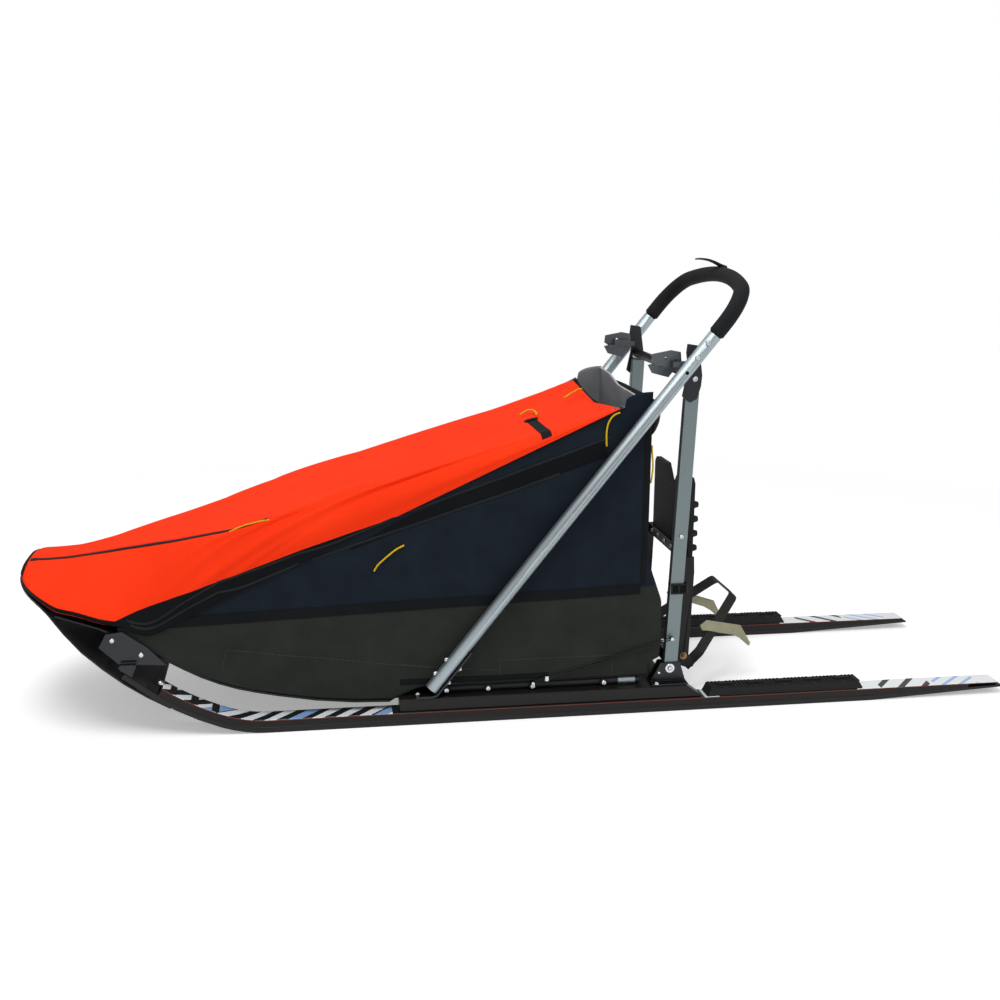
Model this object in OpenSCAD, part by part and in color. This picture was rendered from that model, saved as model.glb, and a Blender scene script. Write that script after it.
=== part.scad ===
// Racing dog sled: two laminated runners, an alloy stanchion frame with a handlebar loop,
// a flat plastic bed that rises into a brush bow, a fabric load bag with a zipped cover,
// a claw brake and a rubber drag mat.
// +X points forward, +Y to the driver's left, +Z up. The origin is on the snow, midway.

/* [Overall] */
// Length from the runner tails to the nose
sled_len = 2290; // [2000:10:2500]
// Distance between the outer faces of the two runners
gauge = 550; // [520:5:660]

/* [Runners] */
// Width of a runner
runner_w = 50; // [44:1:56]
// Height of the laminated core with its top sheet
core_t = 18; // [14:1:22]
// Height of the plastic rail and sole under the core
sole_t = 12; // [8:1:15]
// Where the level stretch ends and the tip starts to rise
curl_x = 601; // [560:1:640]
// Radius of the first, tighter part of the curl
curl_r1 = 300; // [260:10:360]
// Radius of the second part of the curl
curl_r2 = 600; // [540:10:680]
// Where the tail starts to thin, behind the foot treads
taper_x = -810; // [-900:5:-800]
// Height of the sole above the snow at the tail
tail_lift = 17; // [8:1:20]

/* [Risers and treads] */
// Width of the long box beam that stands on each runner
riser_w = 40; // [34:1:44]
// Height of the box beam
riser_h = 29.5; // [24:0.5:36]
// Front end of the box beam
riser_front = 313; // [290:1:330]
// Rear end of the box beam, at its top
riser_rear = -353; // [-358:1:-345]
// Height of the rubber foot tread
tread_h = 19; // [15:1:24]
// Front end of the tread
tread_front = -402; // [-430:1:-398]
// Rear end of the tread
tread_rear = -785; // [-800:1:-700]

/* [Tubes] */
// Diameter of the two long sloping tubes
tube_d = 30; // [25:1:32]
// Wall of the sloping tubes
tube_wall = 2.5; // [2:0.5:4]
// How far the tube axes stand in from the runners' outer faces
tube_inset = 13; // [10:1:16]
// Foot of the tube axis, forward
tube_foot_x = 241; // [220:1:260]
// Foot of the tube axis above the box beam
tube_foot_up = 19.5; // [17:0.5:24]
// Length of the sloping tubes
tube_len = 1005; // [970:1:1250]
// Lean of the sloping tubes from the vertical
tube_rake = 38.5; // [38:0.5:39]
// Diameter of the open accessory holes near the top of the tubes
hole_d = 8; // [5:0.5:10]
// Distance of the accessory holes from the top of the tubes
hole_from_top = 102; // [80:1:130]
// Outer diameter of the foam grip
grip_d = 36; // [32:1:40]
// Diameter of the bent bar inside the grip
loop_d = 24; // [18:1:26]
// Bend radius at the two corners of the handlebar loop
loop_r = 100; // [80:5:130]
// Straight stretch of the loop above each tube
loop_straight = 32; // [20:1:60]

/* [Stanchions] */
// Depth of the rectangular stanchion tube, along the sled
upright_x = 32; // [26:1:36]
// Width of the stanchion tube, across the sled
upright_w = 20; // [16:1:22]
// Height of the stanchion's top end
upright_top_z = 760; // [740:1:770]
// Plate thickness of the feet, gussets and hinge plates
plate_t = 4; // [3:0.5:5]

/* [Bed and bow] */
// Thickness of the plastic bed and of the bow
bed_t = 4; // [3:0.5:5]
// How far the bed's edges stand in from the runners' outer faces
bed_inset = 25; // [20:1:28]
// Thickness of the bars that carry the bed
crossbar_t = 12; // [8:1:14]
// Width of those bars
crossbar_w = 40; // [30:1:46]
// Diameter of the rods along the bed's edges
rail_d = 18; // [14:1:20]

/* [Bag] */
// Thickness of the fabric walls
fabric_t = 3; // [2:0.5:4]
// Room between the bag's side walls and the sloping tubes
bag_room = 1; // [0.5:0.5:8]
// Plane of the bag's rear wall
bag_rear_x = -255; // [-262:1:-250]
// Height of the rear wall
bag_rear_z = 740; // [720:1:760]

/* [Brake and drag mat] */
// Diameter of the hinge pins
pin_d = 8; // [6:0.5:10]
// Running clearance around the pins, on the radius
pin_gap = 0.05; // [0.02:0.01:0.1]
// Length of the brake hoop from its pivot to its crossbar
hoop_len = 192; // [170:1:194]
// Width of the flat bar that the hoop is bent from
hoop_w = 25; // [20:1:28]
// Thickness of that bar
hoop_t = 5; // [4:0.5:6]
// Half width of the rubber mat
mat_half = 150; // [120:1:156]
// Thickness of the rubber belt
mat_t = 12; // [8:1:14]
// Height of the lugs on the belt
lug_h = 14; // [10:1:16]
// Height of the mat's upper edge
mat_top = 522; // [480:1:540]

/* [Hidden] */
$fn = 48;
fit = 0.3;
tail_x = -sled_len / 2;
nose_x = sled_len / 2;
runner_y = gauge / 2 - runner_w / 2;
runner_in = gauge / 2 - runner_w;
deck_z = sole_t + core_t;
riser_top = deck_z + riser_h;
riser_edge = 5;
riser_in = gauge / 2 - riser_edge - riser_w;

// The sloping tube's axis and its unit direction, in the X-Z plane
tube_y = gauge / 2 - tube_inset;
tube_foot = [tube_foot_x, riser_top + tube_foot_up];
tube_dir = [-sin(tube_rake), cos(tube_rake)];
tube_top = tube_foot + tube_len * tube_dir;

// The stanchion stands inside the tube, with the joint plate between the two
joint_t = 6;
joint_y = tube_y - tube_d / 2 - fit - joint_t;
upright_y = joint_y - fit - upright_w / 2;
// Where the stanchion's line meets the tube's axis
joint_z = upright_top_z + 60;
joint_x = tube_foot.x - (joint_z - tube_foot.y) * tan(tube_rake);
upright_foot = [-320, riser_top + plate_t + 1];
upright_head = [joint_x + 1, upright_top_z];

// Bed, bow and bag
bed_z = riser_top - 11.5;
bed_half = gauge / 2 - bed_inset;
bag_half = tube_y - tube_d / 2 - bag_room;
bow_start = [811, 65.5];
bow_wide = gauge / 2 - 5;
seam_front = [847, 236];
seam_rear = [-135, 692];
rail_z = riser_top + rail_d / 2 + fit;
rail_y = riser_in + rail_d / 2 - 3;
rail_front = 225;
rail_rear = -245;
crossbar_x = [265, 105, -155, -310];

// Hinges: the brake's eyes run inside the fixed plates, the mat's arms outside them
brake_pivot = [-391, 75];
mat_pivot = [-371, 98];
hinge_gap = 2;
eye_r = 13;
hinge_t = 5;
hinge_y = 164;
arm_t = 5;
brake_eye_y = hinge_y - hinge_gap - hoop_t;
mat_arm_y = hinge_y + hinge_t + hinge_gap;
hoop_tilt = 45.2;
hoop_bend = 29;
hoop_lean_y = brake_eye_y + hoop_t / 2;
mat_x = -380;
mat_bottom = mat_pivot.y + 217;
clamp_h = 26;
clamp_t = 4;
cross_x = -332;
cross_z = 98;

// Routes of the short pull cords, in round numbers
pull_d = 4;
cover_pull = [[588, 210, 467], [605, 204, 464], [622, 201, 459], [640, 197, 454], [658, 195, 447], [675, 194, 439]];
side_pull = [[298, 248.8, 411], [314, 248.8, 403], [329, 248.8, 392], [342, 248.8, 381], [356, 248.8, 368], [365, 248.8, 354]];
corner_pull = [[-180, 248.8, 697], [-168, 248.8, 692], [-160, 248.8, 684], [-154, 248.8, 672], [-151, 248.8, 655],
               [-151, 248.8, 638], [-152, 248.8, 622]];
hanging_pull = [[-257.8, 240, 620], [-258.5, 241, 604], [-260, 242, 588], [-261, 242, 570], [-260, 241, 552],
                [-257.8, 240, 534]];
elastic_pull = [[-4, -16, 654], [-14, -30, 657], [-24, -38, 660], [-31, -32, 662.5], [-35, -14, 664], [-36, 10, 664],
                [-34, 32, 663.5], [-30, 50, 662.5]];
far_pull = [[-114, -34, 690], [-126, -48, 694], [-138, -59, 698.5], [-149, -68, 702], [-158, -72, 705], [-165, -66, 707]];

// ---- Lines and bars ----

// Follows straight lengths [length, 0] and bends [radius, turn] from point p at heading a.
// Each point comes back as [x, z, heading].
function walk(p, a, steps, i = 0) =
    i >= len(steps) ? [[p.x, p.y, a]] :
    steps[i][1] == 0 ?
        concat([[p.x, p.y, a]], walk(p + steps[i][0] * [cos(a), sin(a)], a, steps, i + 1)) :
    let (
        r = sign(steps[i][1]) * steps[i][0],
        turn = steps[i][1],
        n = ceil(abs(turn) / 5),
        c = p + r * [-sin(a), cos(a)]
    )
    concat([for (k = [0 : n - 1]) let (h = a + turn * k / n) [c.x + r * sin(h), c.y - r * cos(h), h]],
           walk(c + r * [sin(a + turn), -cos(a + turn)], a + turn, steps, i + 1));

// The line moved sideways by d, to its left
function beside(line, d) = [for (q = line) [q.x - d * sin(q[2]), q.y + d * cos(q[2])]];

function reversed(points) = [for (i = [len(points) - 1 : -1 : 0]) points[i]];

// The outline of a bar that follows a line, between two distances from it
function bar(line, d0, d1) = concat(beside(line, d0), reversed(beside(line, d1)));

// Cuts an outline in the X-Z plane out of a plate from y0 to y0 + t
module plate(outline, y0, t) {
    translate([0, y0 + t, 0]) rotate([90, 0, 0]) linear_extrude(t) polygon(outline);
}

// A cylinder along Y between two distances from the middle
module pin(at, d, y0, y1) {
    translate([at.x, y1, at.y]) rotate([90, 0, 0]) cylinder(d = d, h = y1 - y0);
}

// Places its child's Z axis along a line in the X-Z plane, at distance y
module on_line(from, to, y) {
    translate([from.x, y, from.y]) rotate([0, atan2(to.x - from.x, to.y - from.y), 0]) children();
}

// Left pieces are drawn, right pieces are their mirror image
module on_side(side) {
    mirror([0, side == "left" ? 0 : 1, 0]) children();
}

// A round bar swept along points, where ref is a direction that the path never follows
function unit(v) = v / norm(v);
function tangent(p, i) = unit(p[min(i + 1, len(p) - 1)] - p[max(i - 1, 0)]);
function rings(path, r, sides, ref) = [
    for (i = [0 : len(path) - 1])
        let (t = tangent(path, i), u = unit(cross(ref, t)), v = cross(t, u))
        for (k = [0 : sides - 1]) path[i] + r * (cos(360 * k / sides) * u + sin(360 * k / sides) * v)
];
function wall_faces(rings, sides, base, out) = [
    for (i = [0 : rings - 2]) for (k = [0 : sides - 1])
        let (a = base + i * sides + k, b = base + i * sides + (k + 1) % sides)
        for (f = [[a, b, a + sides], [b, b + sides, a + sides]]) out ? f : reversed(f)
];
module swept_bar(path, d, sides, ref) {
    n = len(path);
    polyhedron(rings(path, d / 2, sides, ref), concat(
        wall_faces(n, sides, 0, false),
        [[for (k = [0 : sides - 1]) k]],
        [[for (k = [sides - 1 : -1 : 0]) (n - 1) * sides + k]]
    ));
}
module swept_sleeve(path, d, bore, sides, ref) {
    n = len(path);
    inner = n * sides;
    last = (n - 1) * sides;
    polyhedron(concat(rings(path, d / 2, sides, ref), rings(path, bore / 2, sides, ref)), concat(
        wall_faces(n, sides, 0, false),
        wall_faces(n, sides, inner, true),
        [for (k = [0 : sides - 1]) let (j = (k + 1) % sides)
            for (f = [[j, inner + k, k], [j, inner + j, inner + k]]) f],
        [for (k = [0 : sides - 1]) let (j = (k + 1) % sides)
            for (f = [[last + k, inner + last + k, last + j], [inner + last + k, inner + last + j, last + j]]) f]
    ));
}

// ---- Runners ----

// Underside of the sole from the start of the taper to the tip
sole_line = walk([taper_x, 0], 0, [[curl_x - taper_x, 0], [curl_r1, 20], [curl_r2, 15], [curl_r2, 3], [54, 0]]);
core_line = walk([taper_x, 0], 0, [[curl_x - taper_x, 0], [curl_r1, 20], [curl_r2, 15]]);
tail_joint = tail_lift + 5;
// Height of the joint between core and sole at x, where both thin towards the tail
function joint_height(x) = sole_t + (tail_joint - sole_t) * (taper_x - x) / (taper_x - tail_x);
sheet_end = 14;

module runner_core() {
    color("gainsboro")
    difference() {
        plate(concat([[tail_x + sheet_end, deck_z], [tail_x + sheet_end, joint_height(tail_x + sheet_end)]],
                     beside(core_line, sole_t), reversed(beside(core_line, deck_z))),
              runner_in, runner_w);
        // The top sheet's rear end is rounded on the outside
        translate([tail_x, gauge / 2, 0]) rotate([0, 0, -28]) translate([-60, 0, -1]) cube([140, 60, deck_z + 2]);
    }
}

module runner_sole() {
    color("black")
    plate(concat([[tail_x + 4, joint_height(tail_x + 4)], [tail_x, tail_lift + 2], [tail_x + 3, tail_lift]],
                 beside(sole_line, 0), reversed(beside(sole_line, sole_t))),
          runner_in, runner_w);
}

module riser() {
    bevel = riser_h + 10;
    color([0.08, 0.07, 0.07])
    plate([[riser_front, deck_z], [riser_front, riser_top - 4], [riser_front - 4, riser_top],
           [riser_rear, riser_top], [riser_rear - bevel, deck_z]], riser_in, riser_w);
}

module tread() {
    slope = 10;
    color([0.06, 0.06, 0.06])
    plate([[tread_front, deck_z], [tread_front - slope, deck_z + tread_h],
           [tread_rear + slope, deck_z + tread_h], [tread_rear, deck_z + 4], [tread_rear, deck_z]],
          runner_in + 2, runner_w - 4);
}

module runner_left() on_side("left") runner_core();
module runner_right() on_side("right") runner_core();
module sole_left() on_side("left") runner_sole();
module sole_right() on_side("right") runner_sole();
module riser_left() on_side("left") riser();
module riser_right() on_side("right") riser();
module tread_left() on_side("left") tread();
module tread_right() on_side("right") tread();

// ---- Bed and bow ----

bed_line = walk([-290, bed_z], 0, [[620, 0], [1200, 12], [50, 0], [500, 19], [140, 0], [400, -12], [70, 0]]);
bow_curve = walk(bow_start, 28.5, [[785, 20.5], [35, 0], [110, -28]]);
bow_bend = bow_curve[len(bow_curve) - 1];
bow_line = concat(bow_curve, [[nose_x, bow_bend.y + (nose_x - bow_bend.x) * tan(bow_bend[2]), bow_bend[2]]]);

module crossbars() {
    color([0.1, 0.1, 0.11])
    for (x = crossbar_x)
        translate([x - crossbar_w / 2, -riser_in, bed_z - crossbar_t]) cube([crossbar_w, 2 * riser_in, crossbar_t]);
}

// Plan outline of the bed: narrow between the box beams, full width in front of them
module bed_plan() {
    shoulder = riser_front + 6;
    polygon([for (s = [1, -1]) each s > 0 ?
        [[-290, riser_in - 2], [shoulder, riser_in - 2], [shoulder + 16, bed_half], [1100, bed_half - 6]] :
        [[1100, 6 - bed_half], [shoulder + 16, -bed_half], [shoulder, 2 - riser_in], [-290, 2 - riser_in]]]);
}

module bed_sheet() {
    color([0.07, 0.07, 0.08])
    intersection() {
        plate(bar(bed_line, 0, bed_t), -bed_half - 10, 2 * bed_half + 20);
        translate([0, 0, -10]) linear_extrude(600) bed_plan();
    }
}

// Plan outline of the bow: full width at the runners, narrowing in a blunt curve to the nose
bow_round_x = 900;
function bow_half(x) = let (t = max(0, (x - bow_round_x) / (nose_x + 5 - bow_round_x))) bow_wide * sqrt(1 - pow(t, 3));
module bow_plan() {
    reach = nose_x - bow_round_x;
    edge = concat([[800, bow_wide]],
                  [for (i = [0 : 14]) let (x = bow_round_x + reach * sqrt(1 - pow(1 - i / 14, 2))) [x, bow_half(x)]]);
    polygon(concat(edge, reversed([for (q = edge) [q.x, -q.y]])));
}

module bow_sheet() {
    notch = 24;
    color([0.05, 0.05, 0.06])
    intersection() {
        plate(bar(bow_line, 0, bed_t), -gauge / 2, gauge);
        translate([0, 0, -10]) linear_extrude(600) difference() {
            bow_plan();
            // Between the runners the sheet is cut back
            translate([bow_start.x - 20, -runner_in + 6]) square([20 + notch, 2 * runner_in - 12]);
        }
    }
}

module nose_bracket() {
    y0 = bed_half + fit;
    tip = sole_line[len(sole_line) - 1];
    color([0.05, 0.06, 0.1])
    union() {
        plate([[940, 236], [956, 206], [916, 166], [815, 160], [856, 204], [905, 240]], y0, plate_t);
        // The foot that is screwed to the runner's tip
        plate([[916, 166], [tip.x + 1, tip.y + 16.4], [tip.x - 22, tip.y - 1.1], [880, 160], [880, 170], [912, 170]],
              y0, 22);
    }
}
module nose_bracket_left() on_side("left") nose_bracket();
module nose_bracket_right() on_side("right") nose_bracket();

module bed_rail() {
    color([0.1, 0.11, 0.13])
    translate([rail_rear, rail_y, rail_z]) rotate([0, 90, 0]) cylinder(d = rail_d, h = rail_front - rail_rear);
}
module bed_rail_left() on_side("left") bed_rail();
module bed_rail_right() on_side("right") bed_rail();

// ---- Tubes and handlebar ----

module main_tube() {
    color([0.62, 0.68, 0.7])
    on_line(tube_foot, tube_top, tube_y) difference() {
        cylinder(d = tube_d, h = tube_len);
        translate([0, 0, -1]) cylinder(d = tube_d - 2 * tube_wall, h = tube_len + 2);
        translate([0, 0, tube_len - hole_from_top]) rotate([90, 0, 0]) cylinder(d = hole_d, h = tube_d + 2, center = true);
    }
}
module main_tube_left() on_side("left") main_tube();
module main_tube_right() on_side("right") main_tube();

// The flat bar under a tube: it lies on the box beam, bends up and follows the tube's lower face
module tube_foot_bracket() {
    rise = atan2(tube_dir.y, -tube_dir.x);
    bar_t = 5;
    bar_w = 26;
    flat = 36;
    r = 22;
    // The bar's inner face runs along the tube's lower side
    under = tube_foot - (tube_d / 2 + fit + bar_t) * [tube_dir.y, -tube_dir.x];
    bend_z = riser_top + fit;
    // Length from the bend's end to where the straight reaches the tube's foot
    start_x = under.x - (under.y - bend_z) * tube_dir.x / tube_dir.y;
    reach = r * tan(rise / 2);
    line = walk([start_x + reach + flat, bend_z], 180, [[flat, 0], [r, -rise], [120, 0]]);
    color([0.06, 0.06, 0.07])
    plate(bar(line, 0, -bar_t), tube_y - bar_w / 2 - 2, bar_w);
}
module tube_foot_left() on_side("left") tube_foot_bracket();
module tube_foot_right() on_side("right") tube_foot_bracket();

// Half of the loop in the tubes' own plane, as [across, along]: up, round the corner, over the top
loop_turn = 75;
loop_over = (tube_y - loop_r * (1 - cos(loop_turn))) / cos(loop_turn);
loop_half = walk([tube_y, 0], 90, [[loop_straight, 0], [loop_r, loop_turn], [loop_over, 90 - loop_turn]]);
loop_rise = loop_half[len(loop_half) - 1].y;
function loop_point(q) = [tube_top.x + q.y * tube_dir.x, q.x, tube_top.y + q.y * tube_dir.y];
loop_path = concat([for (q = loop_half) loop_point(q)],
                   [for (i = [len(loop_half) - 2 : -1 : 0])
                       loop_point([-loop_half[i].x, loop_half[i].y])]);
loop_normal = [tube_dir.y, 0, -tube_dir.x];

module handlebar_loop() {
    color([0.2, 0.2, 0.22]) swept_bar(loop_path, loop_d, 16, loop_normal);
}

module handlebar_grip() {
    color([0.08, 0.09, 0.1]) swept_sleeve(loop_path, grip_d, loop_d + 2 * fit, 16, loop_normal);
}

// The curved horn on top of the loop, which holds a loop of line
module handlebar_horn() {
    apex = tube_top + loop_rise * tube_dir;
    root = apex + [2, grip_d / 2 + fit];
    color([0.05, 0.05, 0.05])
    plate([[root.x - 16, root.y], [root.x + 8, root.y], [root.x + 18, root.y + 6], [root.x + 34, root.y + 17],
           [root.x + 60, root.y + 20], [root.x + 62, root.y + 23], [root.x + 30, root.y + 24],
           [root.x - 8, root.y + 9]], -11, 22);
}

// ---- Stanchions ----

module upright() {
    color([0.45, 0.5, 0.51])
    on_line(upright_foot, upright_head, upright_y)
        linear_extrude(norm(upright_head - upright_foot)) difference() {
            square([upright_x, upright_w], center = true);
            square([upright_x - 4, upright_w - 4], center = true);
        }
}
module upright_left() on_side("left") upright();
module upright_right() on_side("right") upright();

// A channel on the box beam that holds the stanchion's foot
module upright_foot_channel() {
    inner = upright_y - upright_w / 2 - fit - plate_t;
    outer = upright_y + upright_w / 2 + fit;
    cheek = [[-270, riser_top + fit], [-295, riser_top + 48], [-342, riser_top + 48], [-357, riser_top + fit]];
    color([0.05, 0.05, 0.05]) {
        plate(cheek, inner, plate_t);
        plate(cheek, outer, plate_t);
        translate([-357, inner, riser_top + fit]) cube([87, gauge / 2 - 9 - inner, plate_t - fit]);
    }
}
module upright_foot_left() on_side("left") upright_foot_channel();
module upright_foot_right() on_side("right") upright_foot_channel();

// The plate between the tube and the stanchion, with the gusset that grips the stanchion's head
module top_joint_plate() {
    color([0.07, 0.07, 0.07])
    translate([joint_x, 0, joint_z])
        plate([[19, 26], [21, 6], [15, -30], [27, -90], [9, -104], [-7, -96], [-15, -68], [-17, -44], [-7, 22]],
              joint_y, joint_t);
}
module top_joint_left() on_side("left") top_joint_plate();
module top_joint_right() on_side("right") top_joint_plate();

cross_tube_d = 22;
module cross_tube() {
    reach = joint_y - fit;
    color([0.09, 0.09, 0.1]) pin([joint_x, upright_top_z + cross_tube_d / 2 + 3], cross_tube_d, -reach, reach);
}

// Holder for a snow hook: two plates on a block, screwed to the joint plate's inner face
module hook_holder_plates() {
    y0 = joint_y - fit - 62;
    color([0.3, 0.32, 0.33])
    translate([joint_x, 0, joint_z]) {
        difference() {
            plate([[23, -28], [81, -24], [93, -16], [91, 2], [49, 10], [27, 6]], y0 + 40, plate_t);
            pin([61, -8], 6, y0, y0 + 60);
            pin([39, -12], 6, y0, y0 + 60);
        }
        plate([[31, -28], [49, -52], [87, -42], [97, -24], [81, -20]], y0 + 26, plate_t);
        plate([[27, -28], [69, -28], [69, -8], [27, -8]], y0 + 30, 10);
        plate([[13, -26], [49, -26], [49, -14], [13, -14]], y0 + 44, 18);
    }
}
module hook_holder_left() on_side("left") hook_holder_plates();
module hook_holder_right() on_side("right") hook_holder_plates();

// A thin stay from the box beam up to the stanchion
stay_d = 6;
module stay() {
    y = bag_half + fit + stay_d / 2 + 1;
    low = [7, riser_top + 16];
    high = [-318, 168];
    color([0.05, 0.05, 0.05]) {
        on_line(low, high, y) cylinder(d = stay_d, h = norm(high - low), $fn = 24);
        translate([low.x, y, riser_top + fit]) cylinder(d = 10, h = 18);
        pin(high, 12, upright_y + upright_w / 2 + fit, y + 5);
    }
}
module stay_left() on_side("left") stay();
module stay_right() on_side("right") stay();

// ---- Bag ----

bag_gap = 1;
// Height of the bag's lower edge above the bed in front, and above the rods behind
bag_floor = [for (q = beside(bed_line, bed_t + bag_gap)) if (q.x > riser_front + 30 && q.x < 918) q];
bag_low = rail_z + rail_d / 2 + bag_gap;
// The rear edge, from the bed up: round the stanchion's foot, out to its widest and up to the top
bag_back = [[-264, bag_low], [-264, riser_top + 52], [-290, riser_top + 64], [-294, 170], [-291, 261],
            [bag_rear_x, 362], [bag_rear_x, bag_rear_z]];
bag_outline = concat(
    [bag_back[0], [riser_front - 60, bag_low], [riser_front + 24, bag_floor[0].y + 1]],
    bag_floor,
    [[916, 248], [seam_front.x, seam_front.y - 2], [seam_rear.x, seam_rear.y - 9], [-188, 700], [-202, 722], [bag_rear_x + 6, bag_rear_z]],
    reversed([for (i = [1 : len(bag_back) - 1]) bag_back[i]]));

module bag_side() {
    color([0.14, 0.17, 0.2]) plate(bag_outline, bag_half - fabric_t, fabric_t);
}
module bag_side_left() on_side("left") bag_side();
module bag_side_right() on_side("right") bag_side();

module bag_rear() {
    inside = bag_half - fabric_t - fit;
    color([0.13, 0.14, 0.16])
    plate(concat(bag_back, reversed([for (p = bag_back) p + [fabric_t, p.y < 120 ? 2 : 0]])), -inside, 2 * inside);
}

// Height of the seam between the side wall and the cover
function seam_z(x) = seam_front.y + (seam_rear.y - seam_front.y) * (seam_front.x - x) / (seam_front.x - seam_rear.x);
lap = 8;
overhang = fabric_t + 0.8;
nose_z = bow_line[len(bow_line) - 1].y;
// Along the seam: [x, shoulder height, shoulder inside the wall, crown]
cover_back = [[-190, 712, 20, 0], [-135, 693, 22, 1], [15, 642, 28, 2], [142, 604, 32, 3], [269, 566, 36, 4],
              [394, 531, 38, 5], [519, 493, 40, 5], [642, 451, 51, 4], [765, 417, 93, 3], [847, 397.5, 126, 2]];
// In front of the seam: [x, shoulder height, shoulder inside the wall, crown, edge height, edge beyond the wall]
cover_front = [[909, 383, 153, 2, 249, overhang], [950, 373, 170, 2, 259, overhang], [999, 363.5, 184, 2, 277, overhang],
               [1038, 357, 191, 2, 285, -6], [1068, 354, 196, 2, 296, -27], [1095, 352, 200, 2, 306.5, -56],
               [1120, 351, 204, 2, 315, -99], [nose_x - 6, nose_z + 29, 206, 1, nose_z + 9.5, -156]];
cover_stations = concat([for (s = cover_back) concat(s, [seam_z(s.x) - lap, overhang])], cover_front);

// One section of the cover, d below its outer face, from the left edge over the top to the right edge.
// Its sides stand upright where the deck is wide, and lean in where it narrows to the nose.
function cover_row(s, d) = let (
        e = bag_half + s[5] - d, sh = bag_half - s[2] - d, z1 = s[4], z2 = s[1] - d, c = s[3],
        rise = z2 - z1, lean = e - sh, b = max(0, min(1, (150 - lean) / 90)),
        half = [[e, z1], [e - 0.1, z1 + min(lap + 4, 0.2 * rise)], [e - 1 - 0.2 * (1 - b) * lean, z1 + (0.4 + 0.1 * b) * rise],
                [0.5 * (e + sh), z1 + (0.7 + 0.18 * b) * rise],
                [sh, z2 + 0.1 * c], [0.6 * sh, z2 + 0.6 * c], [0.25 * sh, z2 + 0.95 * c]])
    concat([for (h = half) [s[0], h.x, h.y]], [[s[0], 0, z2 + c]],
           [for (i = [6 : -1 : 0]) [s[0], -half[i].x, half[i].y]]);

module top_cover() {
    n = len(cover_stations);
    m = 15;
    top = [for (s = cover_stations) each cover_row(s, 0)];
    under = [for (s = cover_stations) each cover_row(s, fabric_t)];
    base = n * m;
    color([1, 0.24, 0.08])
    polyhedron(concat(top, under), concat(
        [for (i = [0 : n - 2]) for (k = [0 : m - 2]) let (a = i * m + k)
            for (f = [[a, a + m, a + 1], [a + 1, a + m, a + m + 1]]) f],
        [for (i = [0 : n - 2]) for (k = [0 : m - 2]) let (a = base + i * m + k)
            for (f = [[a, a + 1, a + m], [a + 1, a + m + 1, a + m]]) f],
        [for (i = [0 : n - 2]) for (k = [0, m - 1]) let (a = i * m + k, b = base + a)
            for (f = k == 0 ? [[a, b, a + m], [b, b + m, a + m]] : [[a, a + m, b], [b, a + m, b + m]]) f],
        [for (i = [0, n - 1]) for (k = [0 : m - 2]) let (a = i * m + k, b = base + a)
            for (f = i == 0 ? [[a, a + 1, b], [b, a + 1, b + 1]] : [[a, b, a + 1], [b, b + 1, a + 1]]) f]
    ));
}

module rear_pouch() {
    color([0.05, 0.05, 0.06])
    plate([[bag_rear_x - fit, 625], [bag_rear_x - fit, 716], [-300, 718], [-314, 706], [-316, 640], [-300, 625]],
          -196, 392);
}

// The strap that ties the bag to a stanchion
module strap() {
    z = 272;
    strap_t = 2;
    strap_h = 25;
    x = upright_foot.x + (upright_head.x - upright_foot.x) * (z - upright_foot.y) / (upright_head.y - upright_foot.y);
    hx = upright_x / 2 + 2;
    hw = upright_w / 2 + fit;
    color([0.05, 0.05, 0.05])
    translate([x, upright_y, z]) linear_extrude(strap_h) difference() {
        square(2 * [hx + strap_t, hw + strap_t], center = true);
        square(2 * [hx, hw], center = true);
    }
}
module strap_left() on_side("left") strap();
module strap_right() on_side("right") strap();

// ---- Pull cords ----

module cord(route) {
    color([0.91, 0.75, 0.13]) swept_bar(route, pull_d, 8, [0.31, 0.42, 0.85]);
}
module cover_pull_cord() cord(cover_pull);
module side_pull_cord() cord(side_pull);
module corner_pull_cord() cord(corner_pull);
module hanging_pull_cord() cord(hanging_pull);
module elastic_pull_cord() cord(elastic_pull);
module far_pull_cord() cord(far_pull);

// ---- Brake and drag mat ----

module rear_crossmember() {
    reach = upright_y - upright_w / 2 - plate_t - 2 * fit;
    color([0.06, 0.06, 0.06])
    translate([cross_x - 8, -reach, cross_z - 15]) cube([16, 2 * reach, 30]);
}

// A fixed plate with its two pins
module hinge_plate() {
    color([0.07, 0.07, 0.07]) {
        plate([[cross_x - 8 - fit, cross_z + 15], [cross_x - 8 - fit, cross_z - 15], [brake_pivot.x + 6, brake_pivot.y - 11],
               [brake_pivot.x - 8, brake_pivot.y - 8], [brake_pivot.x - 10, brake_pivot.y + 4],
               [mat_pivot.x - 8, mat_pivot.y + 9], [mat_pivot.x + 4, mat_pivot.y + 12]], hinge_y, hinge_t);
        // A lug that is bolted against the crossmember
        translate([cross_x - 8 - fit - 5, hinge_y - 26, cross_z - 13]) cube([5, 30, 26]);
        pin(brake_pivot, pin_d, brake_eye_y - 2, hinge_y + 1);
        pin(mat_pivot, pin_d, hinge_y + hinge_t - 1, mat_arm_y + arm_t + 2);
    }
}
module hinge_plate_left() on_side("left") hinge_plate();
module hinge_plate_right() on_side("right") hinge_plate();

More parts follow.
